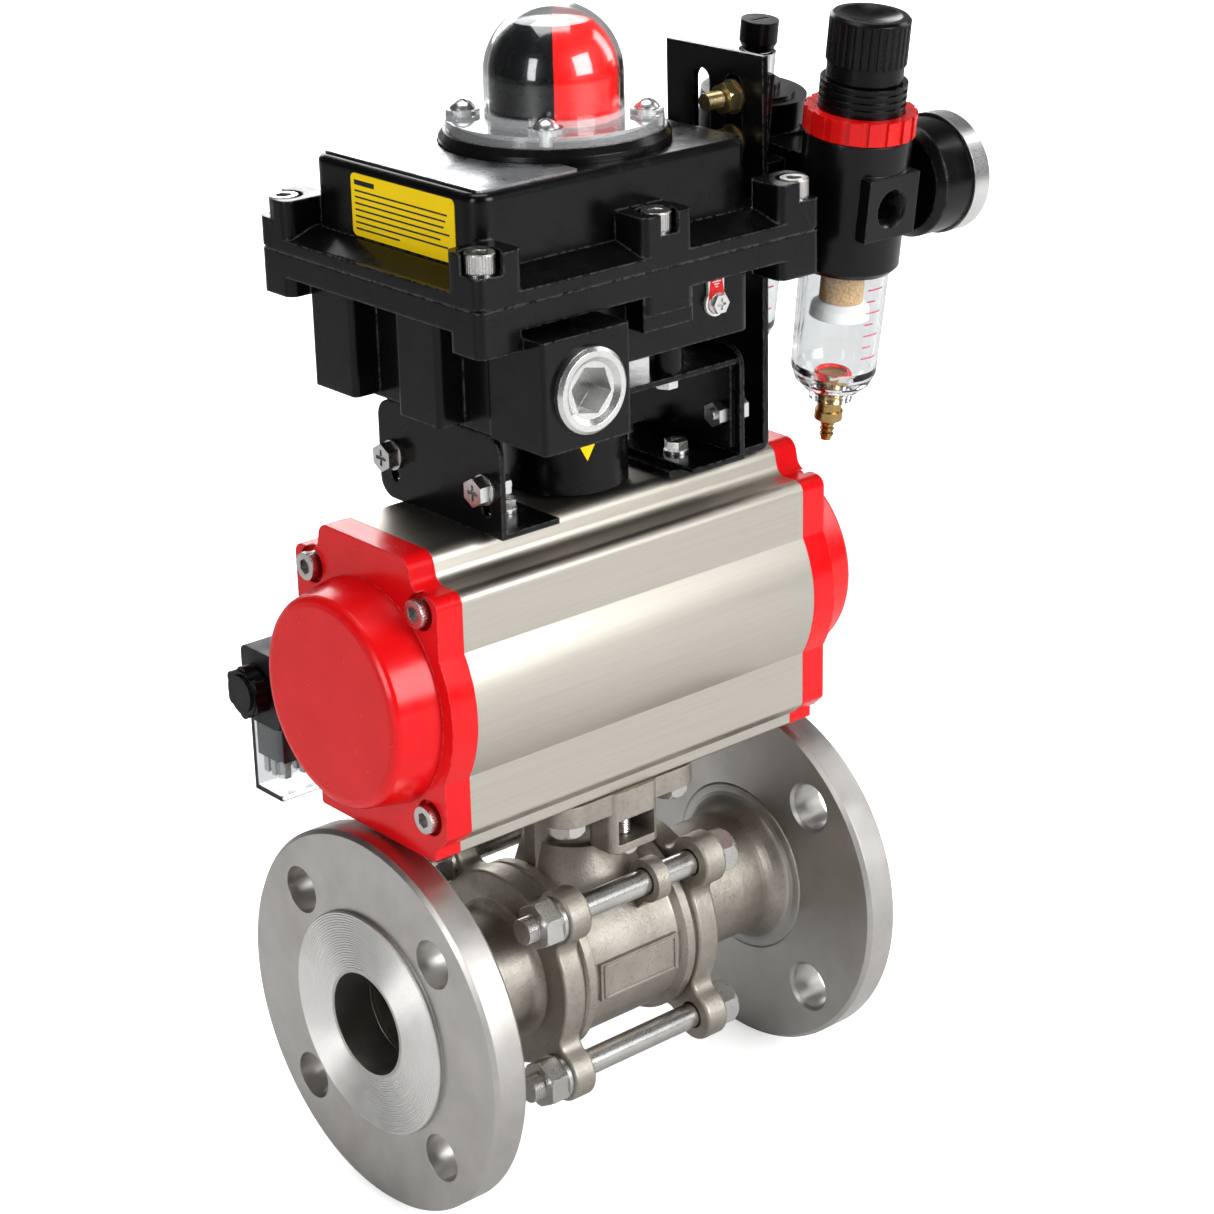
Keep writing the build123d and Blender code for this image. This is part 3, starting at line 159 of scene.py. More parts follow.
class Look:
    """A procedural material: short calls that add nodes and return their outputs."""

    def __init__(self, name):
        self.material = bpy.data.materials.new(name)
        self.material.use_nodes = True
        self.tree = self.material.node_tree
        self.shader = self.tree.nodes["Principled BSDF"]
        self.place = self.add("ShaderNodeTexCoord").outputs["Object"]
        self.normal = None

    def add(self, kind, **inputs):
        node = self.tree.nodes.new(kind)
        for name, value in inputs.items():
            self.feed(node.inputs[name.replace("_", " ")], value)
        return node

    def feed(self, socket, value):
        if isinstance(value, bpy.types.NodeSocket):
            self.tree.links.new(value, socket)
        elif socket.type == "RGBA" and len(value) == 3:
            socket.default_value = (*value, 1)
        else:
            socket.default_value = value

    def stretched(self, scale):
        node = self.add("ShaderNodeMapping", Vector=self.place)
        node.inputs["Scale"].default_value = scale
        return node.outputs["Vector"]

    def noise(self, scale, detail=3, roughness=0.55, vector=None):
        node = self.add("ShaderNodeTexNoise", Scale=scale, Detail=detail, Roughness=roughness,
                        Vector=vector or self.place)
        return node.outputs["Fac"]

    def spread(self, value, low, high, new_low=0.0, new_high=1.0):
        node = self.add("ShaderNodeMapRange", Value=value)
        node.inputs["From Min"].default_value = low
        node.inputs["From Max"].default_value = high
        node.inputs["To Min"].default_value = new_low
        node.inputs["To Max"].default_value = new_high
        return node.outputs["Result"]

    def math(self, operation, a, b=0.0):
        node = self.add("ShaderNodeMath")
        node.operation = operation
        self.feed(node.inputs[0], a)
        self.feed(node.inputs[1], b)
        return node.outputs["Value"]

    def length(self, a, b):
        squares = self.math("ADD", self.math("MULTIPLY", a, a), self.math("MULTIPLY", b, b))
        return self.math("SQRT", squares)

    def mix(self, factor, first, second):
        node = self.add("ShaderNodeMix")
        node.data_type = "RGBA"
        self.feed(node.inputs["Factor"], factor)
        self.feed(node.inputs["A"], first)
        self.feed(node.inputs["B"], second)
        return node.outputs["Result"]

    def axis(self, letter):
        node = self.add("ShaderNodeSeparateXYZ", Vector=self.place)
        return node.outputs[letter]

    def soft_edges(self, radius):
        node = self.add("ShaderNodeBevel", Radius=radius * MM)
        node.samples = 4
        self.normal = node.outputs["Normal"]

    def worn_edge(self, amount):
        """Up to the given amount on sharp edges, broken up by noise, 0 on flats. The mask lightens
        edges for rubbed paint and a painted edge highlight together.
        """
        true_normal = self.add("ShaderNodeNewGeometry").outputs["Normal"]
        dot = self.add("ShaderNodeVectorMath")
        dot.operation = "DOT_PRODUCT"
        self.feed(dot.inputs[0], self.normal)
        self.feed(dot.inputs[1], true_normal)
        bend = self.math("SUBTRACT", 1.0, dot.outputs["Value"])
        patches = self.spread(self.noise(420, 4, 0.7), 0.42, 0.62)
        return self.spread(self.math("MULTIPLY", bend, patches), 0.02, 0.16, 0.0, amount)

    def bump(self, height, depth, strength=1.0):
        node = self.add("ShaderNodeBump", Height=height, Strength=strength, Distance=depth * MM)
        if self.normal:
            self.feed(node.inputs["Normal"], self.normal)
        self.normal = node.outputs["Normal"]

    def set(self, colour, metal=0.0, rough=0.5, coat=0.0, coat_rough=0.1, specular=0.5, ior=1.5):
        shader = self.shader
        self.feed(shader.inputs["Base Color"], colour)
        self.feed(shader.inputs["Metallic"], metal)
        self.feed(shader.inputs["Roughness"], rough)
        shader.inputs["Coat Weight"].default_value = coat
        shader.inputs["Coat Roughness"].default_value = coat_rough
        shader.inputs["Specular IOR Level"].default_value = specular
        shader.inputs["IOR"].default_value = ior
        if self.normal:
            self.feed(shader.inputs["Normal"], self.normal)
        return self.material


def cast_steel(name):
    """Bead-blasted stainless casting; the pipe flanges are turned, with rings on their faces."""
    look = Look(name)
    x = look.axis("X")
    radius = look.length(look.axis("Y"), look.axis("Z"))
    from_inlet = look.math("ABSOLUTE", x)
    from_outlet = look.math("ABSOLUTE", look.math("SUBTRACT", PIPE_LENGTH * MM, x))
    from_end = look.math("MINIMUM", from_inlet, from_outlet)
    at_end = look.spread(from_end, 0.4 * MM, 0.6 * MM, 1.0, 0.0)
    on_face = look.math("MULTIPLY", at_end, look.spread(radius, 20.5 * MM, 21.2 * MM))
    machined = look.spread(from_end, 17.2 * MM, 18.2 * MM, 1.0, 0.0)
    look.soft_edges(0.5)
    rings = look.math("SINE", look.math("MULTIPLY", radius, 2 * pi / (0.95 * MM)))
    look.bump(look.math("MULTIPLY", rings, on_face), 0.16)
    pits = look.noise(1100, 4, 0.65)
    lumps = look.noise(240, 3)
    cast_height = look.math("ADD", pits, look.math("MULTIPLY", lumps, 1.4))
    fine_height = look.math("MULTIPLY", look.noise(2600, 2), 0.35)
    look.bump(look.mix(machined, cast_height, fine_height), 0.15, 0.85)
    tone = look.spread(look.noise(55, 5, 0.6), 0.3, 0.72)
    cast = look.mix(tone, (0.38, 0.35, 0.31), (0.50, 0.47, 0.425))
    speckle = look.spread(look.noise(800, 3, 0.7), 0.55, 0.68, 0.0, 0.45)
    cast = look.mix(speckle, cast, (0.26, 0.235, 0.20))
    turned = look.mix(tone, (0.50, 0.485, 0.46), (0.58, 0.565, 0.545))
    turned = look.mix(on_face, turned, (0.88, 0.87, 0.85))
    colour = look.mix(machined, cast, turned)
    stain = look.spread(look.noise(19, 3), 0.56, 0.75, 0.0, 0.3)
    colour = look.mix(stain, colour, (0.33, 0.295, 0.25))
    rough_cast = look.spread(look.noise(180, 3), 0.3, 0.7, 0.44, 0.58)
    rough_turned = look.spread(look.noise(90, 3), 0.3, 0.7, 0.36, 0.46)
    return look.set(colour, 1.0, look.mix(machined, rough_cast, rough_turned))


def metal(name, dark, light, rough, grain, grain_scale=900, edges=0.25):
    """Bare or plated metal with a fine grain and an uneven tone."""
    look = Look(name)
    look.soft_edges(edges)
    lines = look.noise(grain_scale, 4, 0.6)
    look.bump(lines, grain, 0.6)
    colour = look.mix(look.spread(look.noise(70, 4), 0.3, 0.7), dark, light)
    return look.set(colour, 1.0, look.spread(lines, 0.3, 0.7, *rough))


def painted(name, dark, light, rough, coat=0.0, peel=0.01, peel_scale=420, wear_and_highlight_colour=None,
            wear_and_highlight_amount=0.0, edges=0.6, specular=0.5):
    """Paint or moulded plastic: slight orange peel, uneven gloss, optional lighter edges that are
    partly rubbed paint and partly a painted edge highlight.
    """
    look = Look(name)
    look.soft_edges(edges)
    wear_and_highlight_mask = look.worn_edge(wear_and_highlight_amount) if wear_and_highlight_colour else None
    look.bump(look.noise(peel_scale, 3), peel, 0.5)
    look.bump(look.noise(2400, 2), peel * 0.3, 0.5)
    colour = look.mix(look.spread(look.noise(45, 4), 0.3, 0.7), dark, light)
    # Lighter edge colour: partly rubbed paint, partly a painted highlight where the edges would
    # catch the light.
    if wear_and_highlight_mask:
        colour = look.mix(wear_and_highlight_mask, colour, wear_and_highlight_colour)
    gloss = look.spread(look.noise(120, 4), 0.3, 0.7, *rough)
    return look.set(colour, rough=gloss, coat=coat, coat_rough=0.12, specular=specular)


def clear_plastic(name, scatter_painted_below=None):
    """Clear moulded polycarbonate that lets light through; below a given height it is made partly
    diffuse white, painted light for the light scattered inside a thick flange.
    """
    look = Look(name)
    look.bump(look.noise(140, 3), 0.03, 0.4)
    haze = look.spread(look.noise(60, 4), 0.35, 0.7, 0.03, 0.08)
    colour = look.mix(look.noise(25, 2), (0.96, 0.975, 0.98), (0.931, 0.946, 0.951))
    material = look.set(colour, rough=haze, coat_rough=0.03, ior=1.45)
    passed = look.shader.inputs["Transmission Weight"]
    # Painted light: under the flange top, lower transmission shows white diffuse colour in place of
    # light scattered inside the thick clear flange.
    if scatter_painted_below:
        top = scatter_painted_below * MM
        look.feed(passed, look.spread(look.axis("Z"), top - MM, top, 0.74, 1.0))
    else:
        passed.default_value = 1.0
    see_through = look.add("ShaderNodeBsdfTransparent", Color=(0.93, 0.94, 0.95))
    shadow = look.add("ShaderNodeLightPath").outputs["Is Shadow Ray"]
    both = look.add("ShaderNodeMixShader")
    look.feed(both.inputs[0], shadow)
    look.feed(both.inputs[1], look.shader.outputs[0])
    look.feed(both.inputs[2], see_through.outputs[0])
    output = look.tree.nodes["Material Output"]
    look.tree.links.new(both.outputs[0], output.inputs["Surface"])
    return material


def anodised(name):
    """Satin anodised extrusion: die lines along the housing over a fine matt grain."""
    look = Look(name)
    look.soft_edges(0.35)
    die_lines = look.noise(900, 3, 0.6, look.stretched((0.02, 1, 1)))
    grain = look.noise(3600, 2)
    look.bump(die_lines, 0.003, 0.4)
    look.bump(grain, 0.010, 0.5)
    tone = look.spread(die_lines, 0.35, 0.65)
    colour = look.mix(tone, (0.545, 0.515, 0.46), (0.575, 0.545, 0.49))
    return look.set(colour, 1.0, look.spread(grain, 0.3, 0.7, 0.36, 0.43))


def nameplate_metal(name):
    """Thin label plate: brushed, with random scratches and dull patches."""
    look = Look(name)
    brushed = look.noise(900, 4, 0.7, look.stretched((1, 0.03, 1)))
    scratches = look.noise(160, 6, 0.8, look.stretched((0.25, 1.6, 1)))
    look.bump(brushed, 0.01, 0.5)
    look.bump(look.spread(scratches, 0.52, 0.56), 0.03, 0.5)
    dull = look.spread(look.noise(70, 5, 0.7), 0.45, 0.6)
    colour = look.mix(dull, (0.46, 0.47, 0.48), (0.32, 0.33, 0.34))
    return look.set(colour, 1.0, look.spread(dull, 0.0, 1.0, 0.26, 0.44))


def sintered(name):
    """Tan porous sleeve above, milky moulded baffle below, split at the baffle's top."""
    look = Look(name)
    baffle_top = -40.1
    z_part = look.math("MULTIPLY", look.axis("Z"), cos(AIR_LEAN))
    y_part = look.math("MULTIPLY", look.axis("Y"), sin(AIR_LEAN))
    height = look.math("SUBTRACT", z_part, y_part)
    level = AIR_ORIGIN.z * cos(AIR_LEAN) - AIR_ORIGIN.y * sin(AIR_LEAN) + baffle_top
    upper = look.spread(height, (level - 0.1) * MM, (level + 0.1) * MM)
    look.soft_edges(0.3)
    look.bump(look.noise(1400, 3), 0.08, 0.6)
    grains = look.spread(look.noise(1100, 3), 0.35, 0.65)
    tan = look.mix(grains, (0.36, 0.22, 0.10), (0.58, 0.40, 0.22))
    milky = look.mix(look.noise(60, 3), (0.70, 0.70, 0.69), (0.80, 0.80, 0.79))
    return look.set(look.mix(upper, milky, tan), rough=look.spread(upper, 0.0, 1.0, 0.4, 0.8))


METALS = {
    "stainless_polished": dict(
        dark=(0.62, 0.62, 0.61), light=(0.70, 0.70, 0.69), rough=(0.10, 0.2), grain=0.004),
    "bolt_steel": dict(
        dark=(0.52, 0.51, 0.49), light=(0.64, 0.63, 0.61), rough=(0.26, 0.32), grain=0.001,
        grain_scale=1800, edges=0.4),
    "steel": dict(
        dark=(0.45, 0.45, 0.45), light=(0.56, 0.56, 0.56), rough=(0.25, 0.38), grain=0.015),
    "nickel": dict(
        dark=(0.66, 0.66, 0.65), light=(0.78, 0.78, 0.77), rough=(0.24, 0.36), grain=0.006,
        grain_scale=2200, edges=0.3),
    "zinc": dict(
        dark=(0.34, 0.28, 0.15), light=(0.52, 0.44, 0.26), rough=(0.28, 0.38), grain=0.008,
        grain_scale=1600),
    "plate_alu": dict(
        dark=(0.55, 0.55, 0.55), light=(0.66, 0.66, 0.66), rough=(0.3, 0.42), grain=0.015),
    "brass": dict(
        dark=(0.40, 0.27, 0.11), light=(0.56, 0.41, 0.20), rough=(0.24, 0.36), grain=0.01,
        grain_scale=1600),
}
# Edge colours in red_paint, black_paint and grey_cast stand for rubbed paint and a painted edge
# highlight together.
PAINTS = {
    "ptfe": dict(dark=(0.80, 0.79, 0.76), light=(0.88, 0.87, 0.84), rough=(0.4, 0.5)),
    "red_paint": dict(
        dark=(0.66, 0.007, 0.010), light=(0.74, 0.010, 0.014), rough=(0.18, 0.28), coat=0.12,
        peel=0.03, peel_scale=300, wear_and_highlight_colour=(0.86, 0.30, 0.28), wear_and_highlight_amount=0.35, edges=0.9,
        specular=0.3),
    "black_paint": dict(
        dark=(0.0035, 0.0035, 0.004), light=(0.007, 0.007, 0.0075), rough=(0.17, 0.30), coat=0.05,
        peel=0.03, peel_scale=520, wear_and_highlight_colour=(0.24, 0.24, 0.24), wear_and_highlight_amount=0.5, edges=1.3,
        specular=0.32),
    "black_plastic": dict(
        dark=(0.004, 0.004, 0.0045), light=(0.008, 0.008, 0.0085), rough=(0.20, 0.34),
        peel=0.02, peel_scale=700, edges=0.5, specular=0.3),
    "rubber": dict(
        dark=(0.014, 0.014, 0.014), light=(0.022, 0.022, 0.022), rough=(0.6, 0.75), peel=0.02),
    "bearing_plastic": dict(dark=(0.7, 0.69, 0.64), light=(0.76, 0.75, 0.7), rough=(0.4, 0.5)),
    "red_plastic": dict(
        dark=(0.60, 0.008, 0.007), light=(0.70, 0.012, 0.010), rough=(0.22, 0.34), coat=0.1,
        peel=0.02, peel_scale=300, edges=0.4, specular=0.35),
    "tag": dict(dark=(0.80, 0.80, 0.78), light=(0.86, 0.86, 0.84), rough=(0.3, 0.42), coat=0.2),
    "grey_cast": dict(
        dark=(0.004, 0.004, 0.0045), light=(0.008, 0.008, 0.0085), rough=(0.16, 0.28), coat=0.08,
        peel=0.03, peel_scale=480, wear_and_highlight_colour=(0.14, 0.14, 0.14), wear_and_highlight_amount=0.45, edges=0.8,
        specular=0.34),
    "coil_plastic": dict(
        dark=(0.016, 0.016, 0.018), light=(0.026, 0.026, 0.028), rough=(0.42, 0.55), peel=0.05,
        peel_scale=900),
    "yellow_print": dict(
        dark=(0.94, 0.66, 0.004), light=(0.98, 0.72, 0.008), rough=(0.32, 0.42), peel=0.012,
        peel_scale=500, edges=0.3, specular=0.25),
    "red_print": dict(
        dark=(0.72, 0.10, 0.16), light=(0.80, 0.16, 0.22), rough=(0.35, 0.45), peel_scale=500),
    "dial_white": dict(
        dark=(0.84, 0.84, 0.82), light=(0.89, 0.89, 0.87), rough=(0.38, 0.5), peel_scale=500),
    "print_black": dict(
        dark=(0.012, 0.012, 0.012), light=(0.022, 0.022, 0.022), rough=(0.4, 0.5),
        peel_scale=500),
}
MATERIALS = {name: metal(name, **finish) for name, finish in METALS.items()}
MATERIALS.update({name: painted(name, **finish) for name, finish in PAINTS.items()})
MATERIALS.update({
    "stainless_cast": cast_steel("stainless_cast"),
    "anodised": anodised("anodised"),
    "clear": clear_plastic("clear"),
    "sinter": sintered("sinter"),
})
SPECIAL_NODES = {
    "nameplate": nameplate_metal("nameplate_metal"),
    "indicator_dome": clear_plastic("window_clear", DOME_FLANGE_TOP),
}


def dress_nodes():
    """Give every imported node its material."""
    slots = {entry["node"]: entry["material_slot"] for entry in frame["record"]["subparts"]}
    for name, node in NODES.items():
        material = SPECIAL_NODES.get(name) or MATERIALS[slots[name]]
        node.data.materials.clear()
        node.data.materials.append(material)


# ---------------------------------------------------------------- pieces

# The air set's own axes: x along the pipe, u from the regulator to the lubricator, and w up,
# leaning to the front.
AIR = Matrix.Translation(AIR_ORIGIN * MM) @ Matrix.Rotation(AIR_LEAN, 4, "X")


def piece(name, shape, material, body="housing", smooth=False, turn=None):
    """A mesh piece from a shape in millimetres, ridden on a body."""
    verts, faces = shape
    turn = turn or Matrix.Identity(4)
    mesh = bpy.data.meshes.new(name)
    mesh.from_pydata([turn @ (Vector(v) * MM) for v in verts], [], faces)
    mesh.materials.append(MATERIALS[material])
    mesh.polygons.foreach_set("use_smooth", [smooth] * len(faces))
    mesh.update()
    made = bpy.data.objects.new(name, mesh)
    bpy.context.scene.collection.objects.link(made)
    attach(made, body)


def join_shapes(shapes):
    verts, faces = [], []
    for shape_verts, shape_faces in shapes:
        offset = len(verts)
        verts += shape_verts
        faces += [tuple(i + offset for i in face) for face in shape_faces]
    return verts, faces


def along(axis, centre):
    """Function from (radius, angle, distance) to a point about a line through centre."""
    cx, cy, cz = centre
    if axis == "X":
        return lambda r, a, d: (cx + d, cy + r * cos(a), cz + r * sin(a))
    if axis == "Y":
        return lambda r, a, d: (cx + r * sin(a), cy + d, cz + r * cos(a))
    return lambda r, a, d: (cx + r * cos(a), cy + r * sin(a), cz + d)


def lathe(profile, axis, centre, segments=48):
    """Surface turned from (radius, distance) points."""
    point = along(axis, centre)
    verts, faces = [], []
    for r, d in profile:
        verts += [point(r, 2 * pi * i / segments, d) for i in range(segments)]
    for j in range(len(profile) - 1):
        for i in range(segments):
            a, b = j * segments + i, j * segments + (i + 1) % segments
            faces.append((a, b, b + segments, a + segments))
    return verts, faces


def thread(axis, centre, start, end, r, depth, pitch):
    """Rings of a fine thread standing on a plain shank or, with a negative depth, in a hole."""
    profile = [(r, start)]
    place = start
    while place + pitch <= end:
        profile += [(r + depth, place + 0.5 * pitch), (r, place + pitch)]
        place += pitch
    return lathe(profile, axis, centre, 32)


def knurl(axis, centre, start, end, r=5, ribs=36):
    """Ribbed sleeve round a socket screw head, tapering in at both ends."""
    point = along(axis, centre)
    taper = copysign(0.3, end - start)
    rib, groove = 0.16, 0.02
    verts, faces = [], []
    count = ribs * 2
    for d, peak in ((start, 0.0), (start + taper, rib), (end - taper, rib), (end, 0.0)):
        for i in range(count):
            verts.append(point(r + (peak if i % 2 else groove), 2 * pi * i / count, d))
    for j in range(3):
        for i in range(count):
            a, b = j * count + i, j * count + (i + 1) % count
            faces.append((a, b, b + count, a + count))
    return verts, faces


def slab(x0, x1, y0, y1, z0, z1, chamfer=0.02):
    """Block with chamfered edges."""
    verts = []
    for i, x in enumerate((x0, x1)):
        for j, y in enumerate((y0, y1)):
            for k, z in enumerate((z0, z1)):
                sx, sy, sz = [(1 - 2 * side) * chamfer for side in (i, j, k)]
                verts += [(x, y + sy, z + sz), (x + sx, y, z + sz), (x + sx, y + sy, z)]

    def corner(i, j, k, n):
        return 3 * (4 * i + 2 * j + k) + n

    faces = []
    around = ((0, 0), (0, 1), (1, 1), (1, 0))
    for i in (0, 1):
        faces.append(tuple(corner(i, j, k, 0) for j, k in around))
        faces.append(tuple(corner(j, i, k, 1) for j, k in around))
        faces.append(tuple(corner(j, k, i, 2) for j, k in around))
    for a in (0, 1):
        for b in (0, 1):
            for near, far, m, n in (((a, b, 0), (a, b, 1), 0, 1), ((a, 0, b), (a, 1, b), 0, 2),
                                    ((0, a, b), (1, a, b), 1, 2)):
                faces.append((corner(*near, m), corner(*near, n), corner(*far, n), corner(*far, m)))
    for i in (0, 1):
        for j in (0, 1):
            for k in (0, 1):
                faces.append((corner(i, j, k, 0), corner(i, j, k, 1), corner(i, j, k, 2)))
    return verts, faces


def plate(outline, make_point, near, far):
    """Thin plate between two depths, from the points of its outline."""
    count = len(outline)
    verts = [make_point(a, b, depth) for depth in (near, far) for a, b in outline]
    faces = [tuple(range(count)), tuple(range(2 * count - 1, count - 1, -1))]
    faces += [(i, (i + 1) % count, (i + 1) % count + count, i + count) for i in range(count)]
    return verts, faces


def rounded_outline(y0, y1, z0, z1, radius):
    outline = []
    for cy, cz, start in ((y1 - radius, z1 - radius, 0), (y0 + radius, z1 - radius, 90),
                          (y0 + radius, z0 + radius, 180), (y1 - radius, z0 + radius, 270)):
        for i in range(7):
            a = radians(start + 15 * i)
            outline.append((cy + radius * cos(a), cz + radius * sin(a)))
    return outline


def screw_heads():
    """Knurled sides of the socket screws on the box lid and the actuator's end caps."""
    sleeves = []
    lid_screw_y, lid_ear_top = 53.5, 284
    for x in (23.5, 98, 161.5):
        for y in (-lid_screw_y, lid_screw_y):
            sleeves.append(knurl("Z", (x, y, lid_ear_top), 0.4, 6.7))
    cap_screw_y, cap_screw_z, cap_from_stem = 31, (89.8, 165.8), 87
    for side in (-1, 1):
        x = STEM_X + side * cap_from_stem
        for y in (-cap_screw_y, cap_screw_y):
            for z in cap_screw_z:
                sleeves.append(knurl("X", (x, y, z), side * 3.3, side * 5.7))
    piece("screw_knurling", join_shapes(sleeves), "bolt_steel")


def bolt_threads():
    """Thread ends of the body studs, the valve mounting bolts and the plate studs."""
    rings = []
    body_stud, mount_bolt = 32.5, 27
    for y in (-body_stud, body_stud):
        for z in (-body_stud, body_stud):
            rings.append(thread("X", (STEM_X, y, z), -53, -47.8, 4.8, 0.22, 1.0))
    for y in (-mount_bolt, mount_bolt):
        rings.append(thread("Z", (STEM_X, y, 0), 53.2, 62.2, 2.9, 0.28, 1.0))
    piece("stud_threads", join_shapes(rings), "bolt_steel")
    stud_y = -11
    studs = []
    for stud_z in (311, 295):
        rise, run = stud_z - AIR_ORIGIN.z, stud_y - AIR_ORIGIN.y
        u = run * cos(AIR_LEAN) + rise * sin(AIR_LEAN)
        w = rise * cos(AIR_LEAN) - run * sin(AIR_LEAN)
        studs.append(thread("X", (0, u, w), -41.8, -34.2, 2.95, 0.22, 0.8))
    piece("plate_stud_threads", join_shapes(studs), "zinc", turn=AIR)


def port_threads():
    """Cut threads inside the air ports."""
    ports = [
        thread("Y", (0, 0, 0), -18.8, -9.2, 6.18, -0.45, 1.2),
        thread("Y", (0, LUBRICATOR_U, 0), 9.2, 18.8, 6.18, -0.45, 1.2),
    ]
    piece("air_port_threads", join_shapes(ports), "grey_cast", turn=AIR)
    solenoid_y, port_z = 64, 110
    ports = []
    for x in (STEM_X - 26, STEM_X, STEM_X + 26):
        ports.append(thread("Y", (x, solenoid_y, port_z), 0.2, 8.6, 5.68, -0.4, 1.2))
    piece("solenoid_port_threads", join_shapes(ports), "anodised")


def puck_arrow():
    """Yellow pointer on the side of the position puck, its tip down."""
    rows, columns = 8, 8
    middle, half_top = radians(-109), radians(8.8)
    tip_z, height = 196.8, 7.0
    verts, faces = [], []
    for layer in (22.6, 22.9):
        for i in range(rows + 1):
            half = half_top * i / rows
            for j in range(columns + 1):
                a = middle - half + 2 * half * j / columns
                z = tip_z + height * i / rows
                verts.append((STEM_X + layer * cos(a), layer * sin(a), z))
    width = columns + 1
    layer_size = width * (rows + 1)
    for i in range(rows):
        for j in range(columns):
            a = layer_size + i * width + j
            faces.append((a, a + 1, a + 1 + width, a + width))
        for edge in (0, columns):
            a = i * width + edge
            faces.append((a, a + layer_size, a + width + layer_size, a + width))
    for j in range(columns):
        a = rows * width + j
        faces.append((a, a + 1, a + 1 + layer_size, a + layer_size))
    piece("puck_arrow", (verts, faces), "yellow_print", "drive_train")


def side_label():
    """Yellow sticker with plain bars on the lid."""
    x = 29.5
    outline = rounded_outline(-34, 22, 281.8, 303.2, 2.2)
    sticker = plate(outline, lambda y, z, depth: (depth, y, z), x - 0.25, x + 0.1)
    piece("side_label", sticker, "yellow_print")
    left_end, first_z, pitch = 20, 297.6, 2.15
    bars = [slab(x - 0.29, x - 0.2, 9, left_end, 299.3, 301.0)]
    for i, length in enumerate((50, 49, 48, 51, 46, 50, 24)):
        z = first_z - pitch * i
        bars.append(slab(x - 0.29, x - 0.2, left_end - length, left_end, z - 0.6, z))
    piece("side_label_bars", join_shapes(bars), "print_black")


def earth_label():
    """Red patch and earth sign on the tag under the lid."""
    y, middle, screw_z = -51.25, 127, 253
    outline = [(middle - 2.3, 264.0)]
    for a in range(165, 376, 15):
        outline.append((middle + 3.9 * cos(radians(a)), screw_z + 3.9 * sin(radians(a))))
    outline.append((middle + 2.3, 264.0))
    patch = plate(outline, lambda x, z, depth: (x, depth, z), y - 0.12, y + 0.04)
    piece("earth_patch", patch, "red_plastic")
    lines = [slab(middle - 0.2, middle + 0.2, y - 0.2, y - 0.1, 260.9, 262.6)]
    for half, z in ((1.9, 260.5), (1.2, 259.6), (0.6, 258.7)):
        lines.append(slab(middle - half, middle + half, y - 0.2, y - 0.1, z - 0.2, z + 0.2))
    piece("earth_sign", join_shapes(lines), "tag")


def gauge_tick(angle, inner, half):
    """One raised mark on the dial, across the gauge's axis."""
    front, back, outer = 41.12, 41.0, 17.0
    corners = []
    for r, s in ((inner, -1), (inner, 1), (outer, 1), (outer, -1)):
        y, z = r * cos(angle), r * sin(angle)
        corners.append((front, y - s * half * sin(angle), z + s * half * cos(angle)))
    verts = corners + [(back, y, z) for _, y, z in corners]
    return verts, [(0, 1, 2, 3), (0, 4, 5, 1), (1, 5, 6, 2), (2, 6, 7, 3), (3, 7, 4, 0)]


def gauge_number(value, angle):
    """One plain number on the dial, read from +X."""
    data = bpy.data.curves.new(f"gauge_number_{value}", "FONT")
    data.body = str(value)
    data.size = 3.6 * MM
    data.extrude = 0.04 * MM
    data.align_x = "CENTER"
    data.align_y = "CENTER"
    data.materials.append(MATERIALS["print_black"])
    number = bpy.data.objects.new(f"gauge_number_{value}", data)
    bpy.context.scene.collection.objects.link(number)
    spot = Vector((41.1, 10.2 * cos(angle), 10.2 * sin(angle))) * MM
    facing = Matrix(((0, 0, 1), (1, 0, 0), (0, 1, 0))).to_4x4()
    number.matrix_world = AIR @ Matrix.Translation(spot) @ facing
    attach(number, "housing")


def gauge_dial():
    """White dial with ticks and plain numbers over 270 degrees."""
    face = lathe([(0.1, 41.0), (19.2, 41.0), (19.2, 40.6)], "X", (0, 0, 0), 96)
    piece("gauge_dial", face, "dial_white", turn=AIR)
    ticks = []
    for i in range(51):
        inner, half = (13.2, 0.30) if i % 5 == 0 else (15.0, 0.14)
        ticks.append(gauge_tick(radians(225 - 5.4 * i), inner, half))
    piece("gauge_ticks", join_shapes(ticks), "print_black", turn=AIR)
    for value in range(0, 11, 2):
        gauge_number(value, radians(225 - 27 * value))


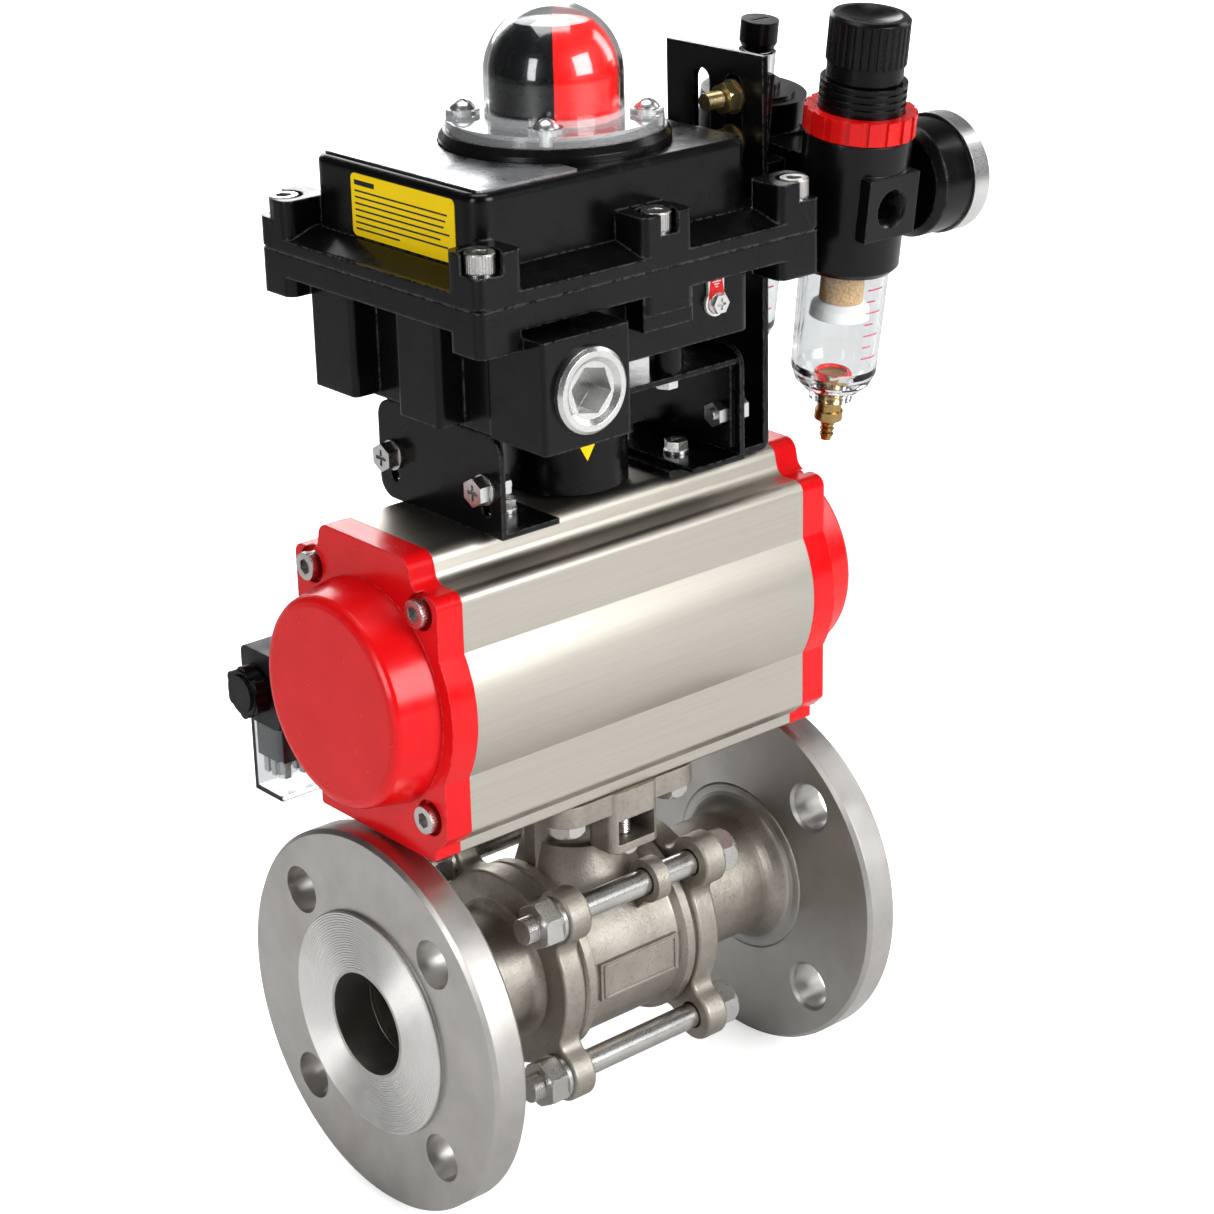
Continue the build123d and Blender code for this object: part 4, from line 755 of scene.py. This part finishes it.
def scale_mark(point, w, spread):
    """One printed mark that follows the bowl's slightly tapered wall."""
    start, steps, width = radians(-102), 6, 0.5
    taper = 0.02 * (w + 14) / 53
    verts, faces = [], []
    for j in range(steps + 1):
        for r in (16.5, 16.62):
            for d in (w, w + width):
                verts.append(point(r + taper, start + spread * j / steps, d))
    for j in range(steps):
        a = 4 * j
        faces.append((a + 2, a + 6, a + 7, a + 3))
        faces.append((a, a + 1, a + 5, a + 4))
        faces.append((a + 1, a + 3, a + 7, a + 5))
        faces.append((a, a + 4, a + 6, a + 2))
    return verts, faces


def bowl_scales():
    """Level marks printed on both bowls."""
    shapes = []
    for u in (0, LUBRICATOR_U):
        point = along("Z", (0, u, 0))
        for i in range(9):
            spread = radians(24 if i % 2 == 0 else 13)
            shapes.append(scale_mark(point, -58 + 4.4 * i, spread))
    piece("bowl_scales", join_shapes(shapes), "red_print", turn=AIR)


def bowl_seal():
    """Red sealing ring where the drain passes through the bowl."""
    middle, height, thick = 5.9, -68.9, 0.9
    turns = [radians(30 * i) for i in range(13)]
    ring = [(middle + thick * cos(a), height + thick * sin(a)) for a in turns]
    shape = lathe(ring, "Z", (0, 0, 0))
    piece("bowl_seal", shape, "red_plastic", "drain", smooth=True, turn=AIR)


def connector_inside():
    """Terminals seen through the clear connector."""
    shapes = []
    for y in (55.5, 60, 64.5):
        for x in (9.5, 17.5, 25.5):
            shapes.append(slab(x - 1.5, x + 1.5, y - 1.3, y + 1.3, 76, 82.5, 0.3))
    piece("connector_terminals", join_shapes(shapes), "steel")


def body_panel():
    """Raised cast border round the blank panel on the front of the valve body."""
    back, front = -35.4, -36.2
    bars = [slab(83, 117, front, back, z, z + 1, 0.2) for z in (5.9, -6.9)]
    bars += [slab(x, x + 1, front, back, -6.9, 6.9, 0.2) for x in (82.2, 116.8)]
    piece("body_panel_border", join_shapes(bars), "stainless_cast")


photo_camera()
studio()
dress_nodes()
screw_heads()
bolt_threads()
port_threads()
puck_arrow()
side_label()
earth_label()
gauge_dial()
bowl_scales()
bowl_seal()
connector_inside()
body_panel()
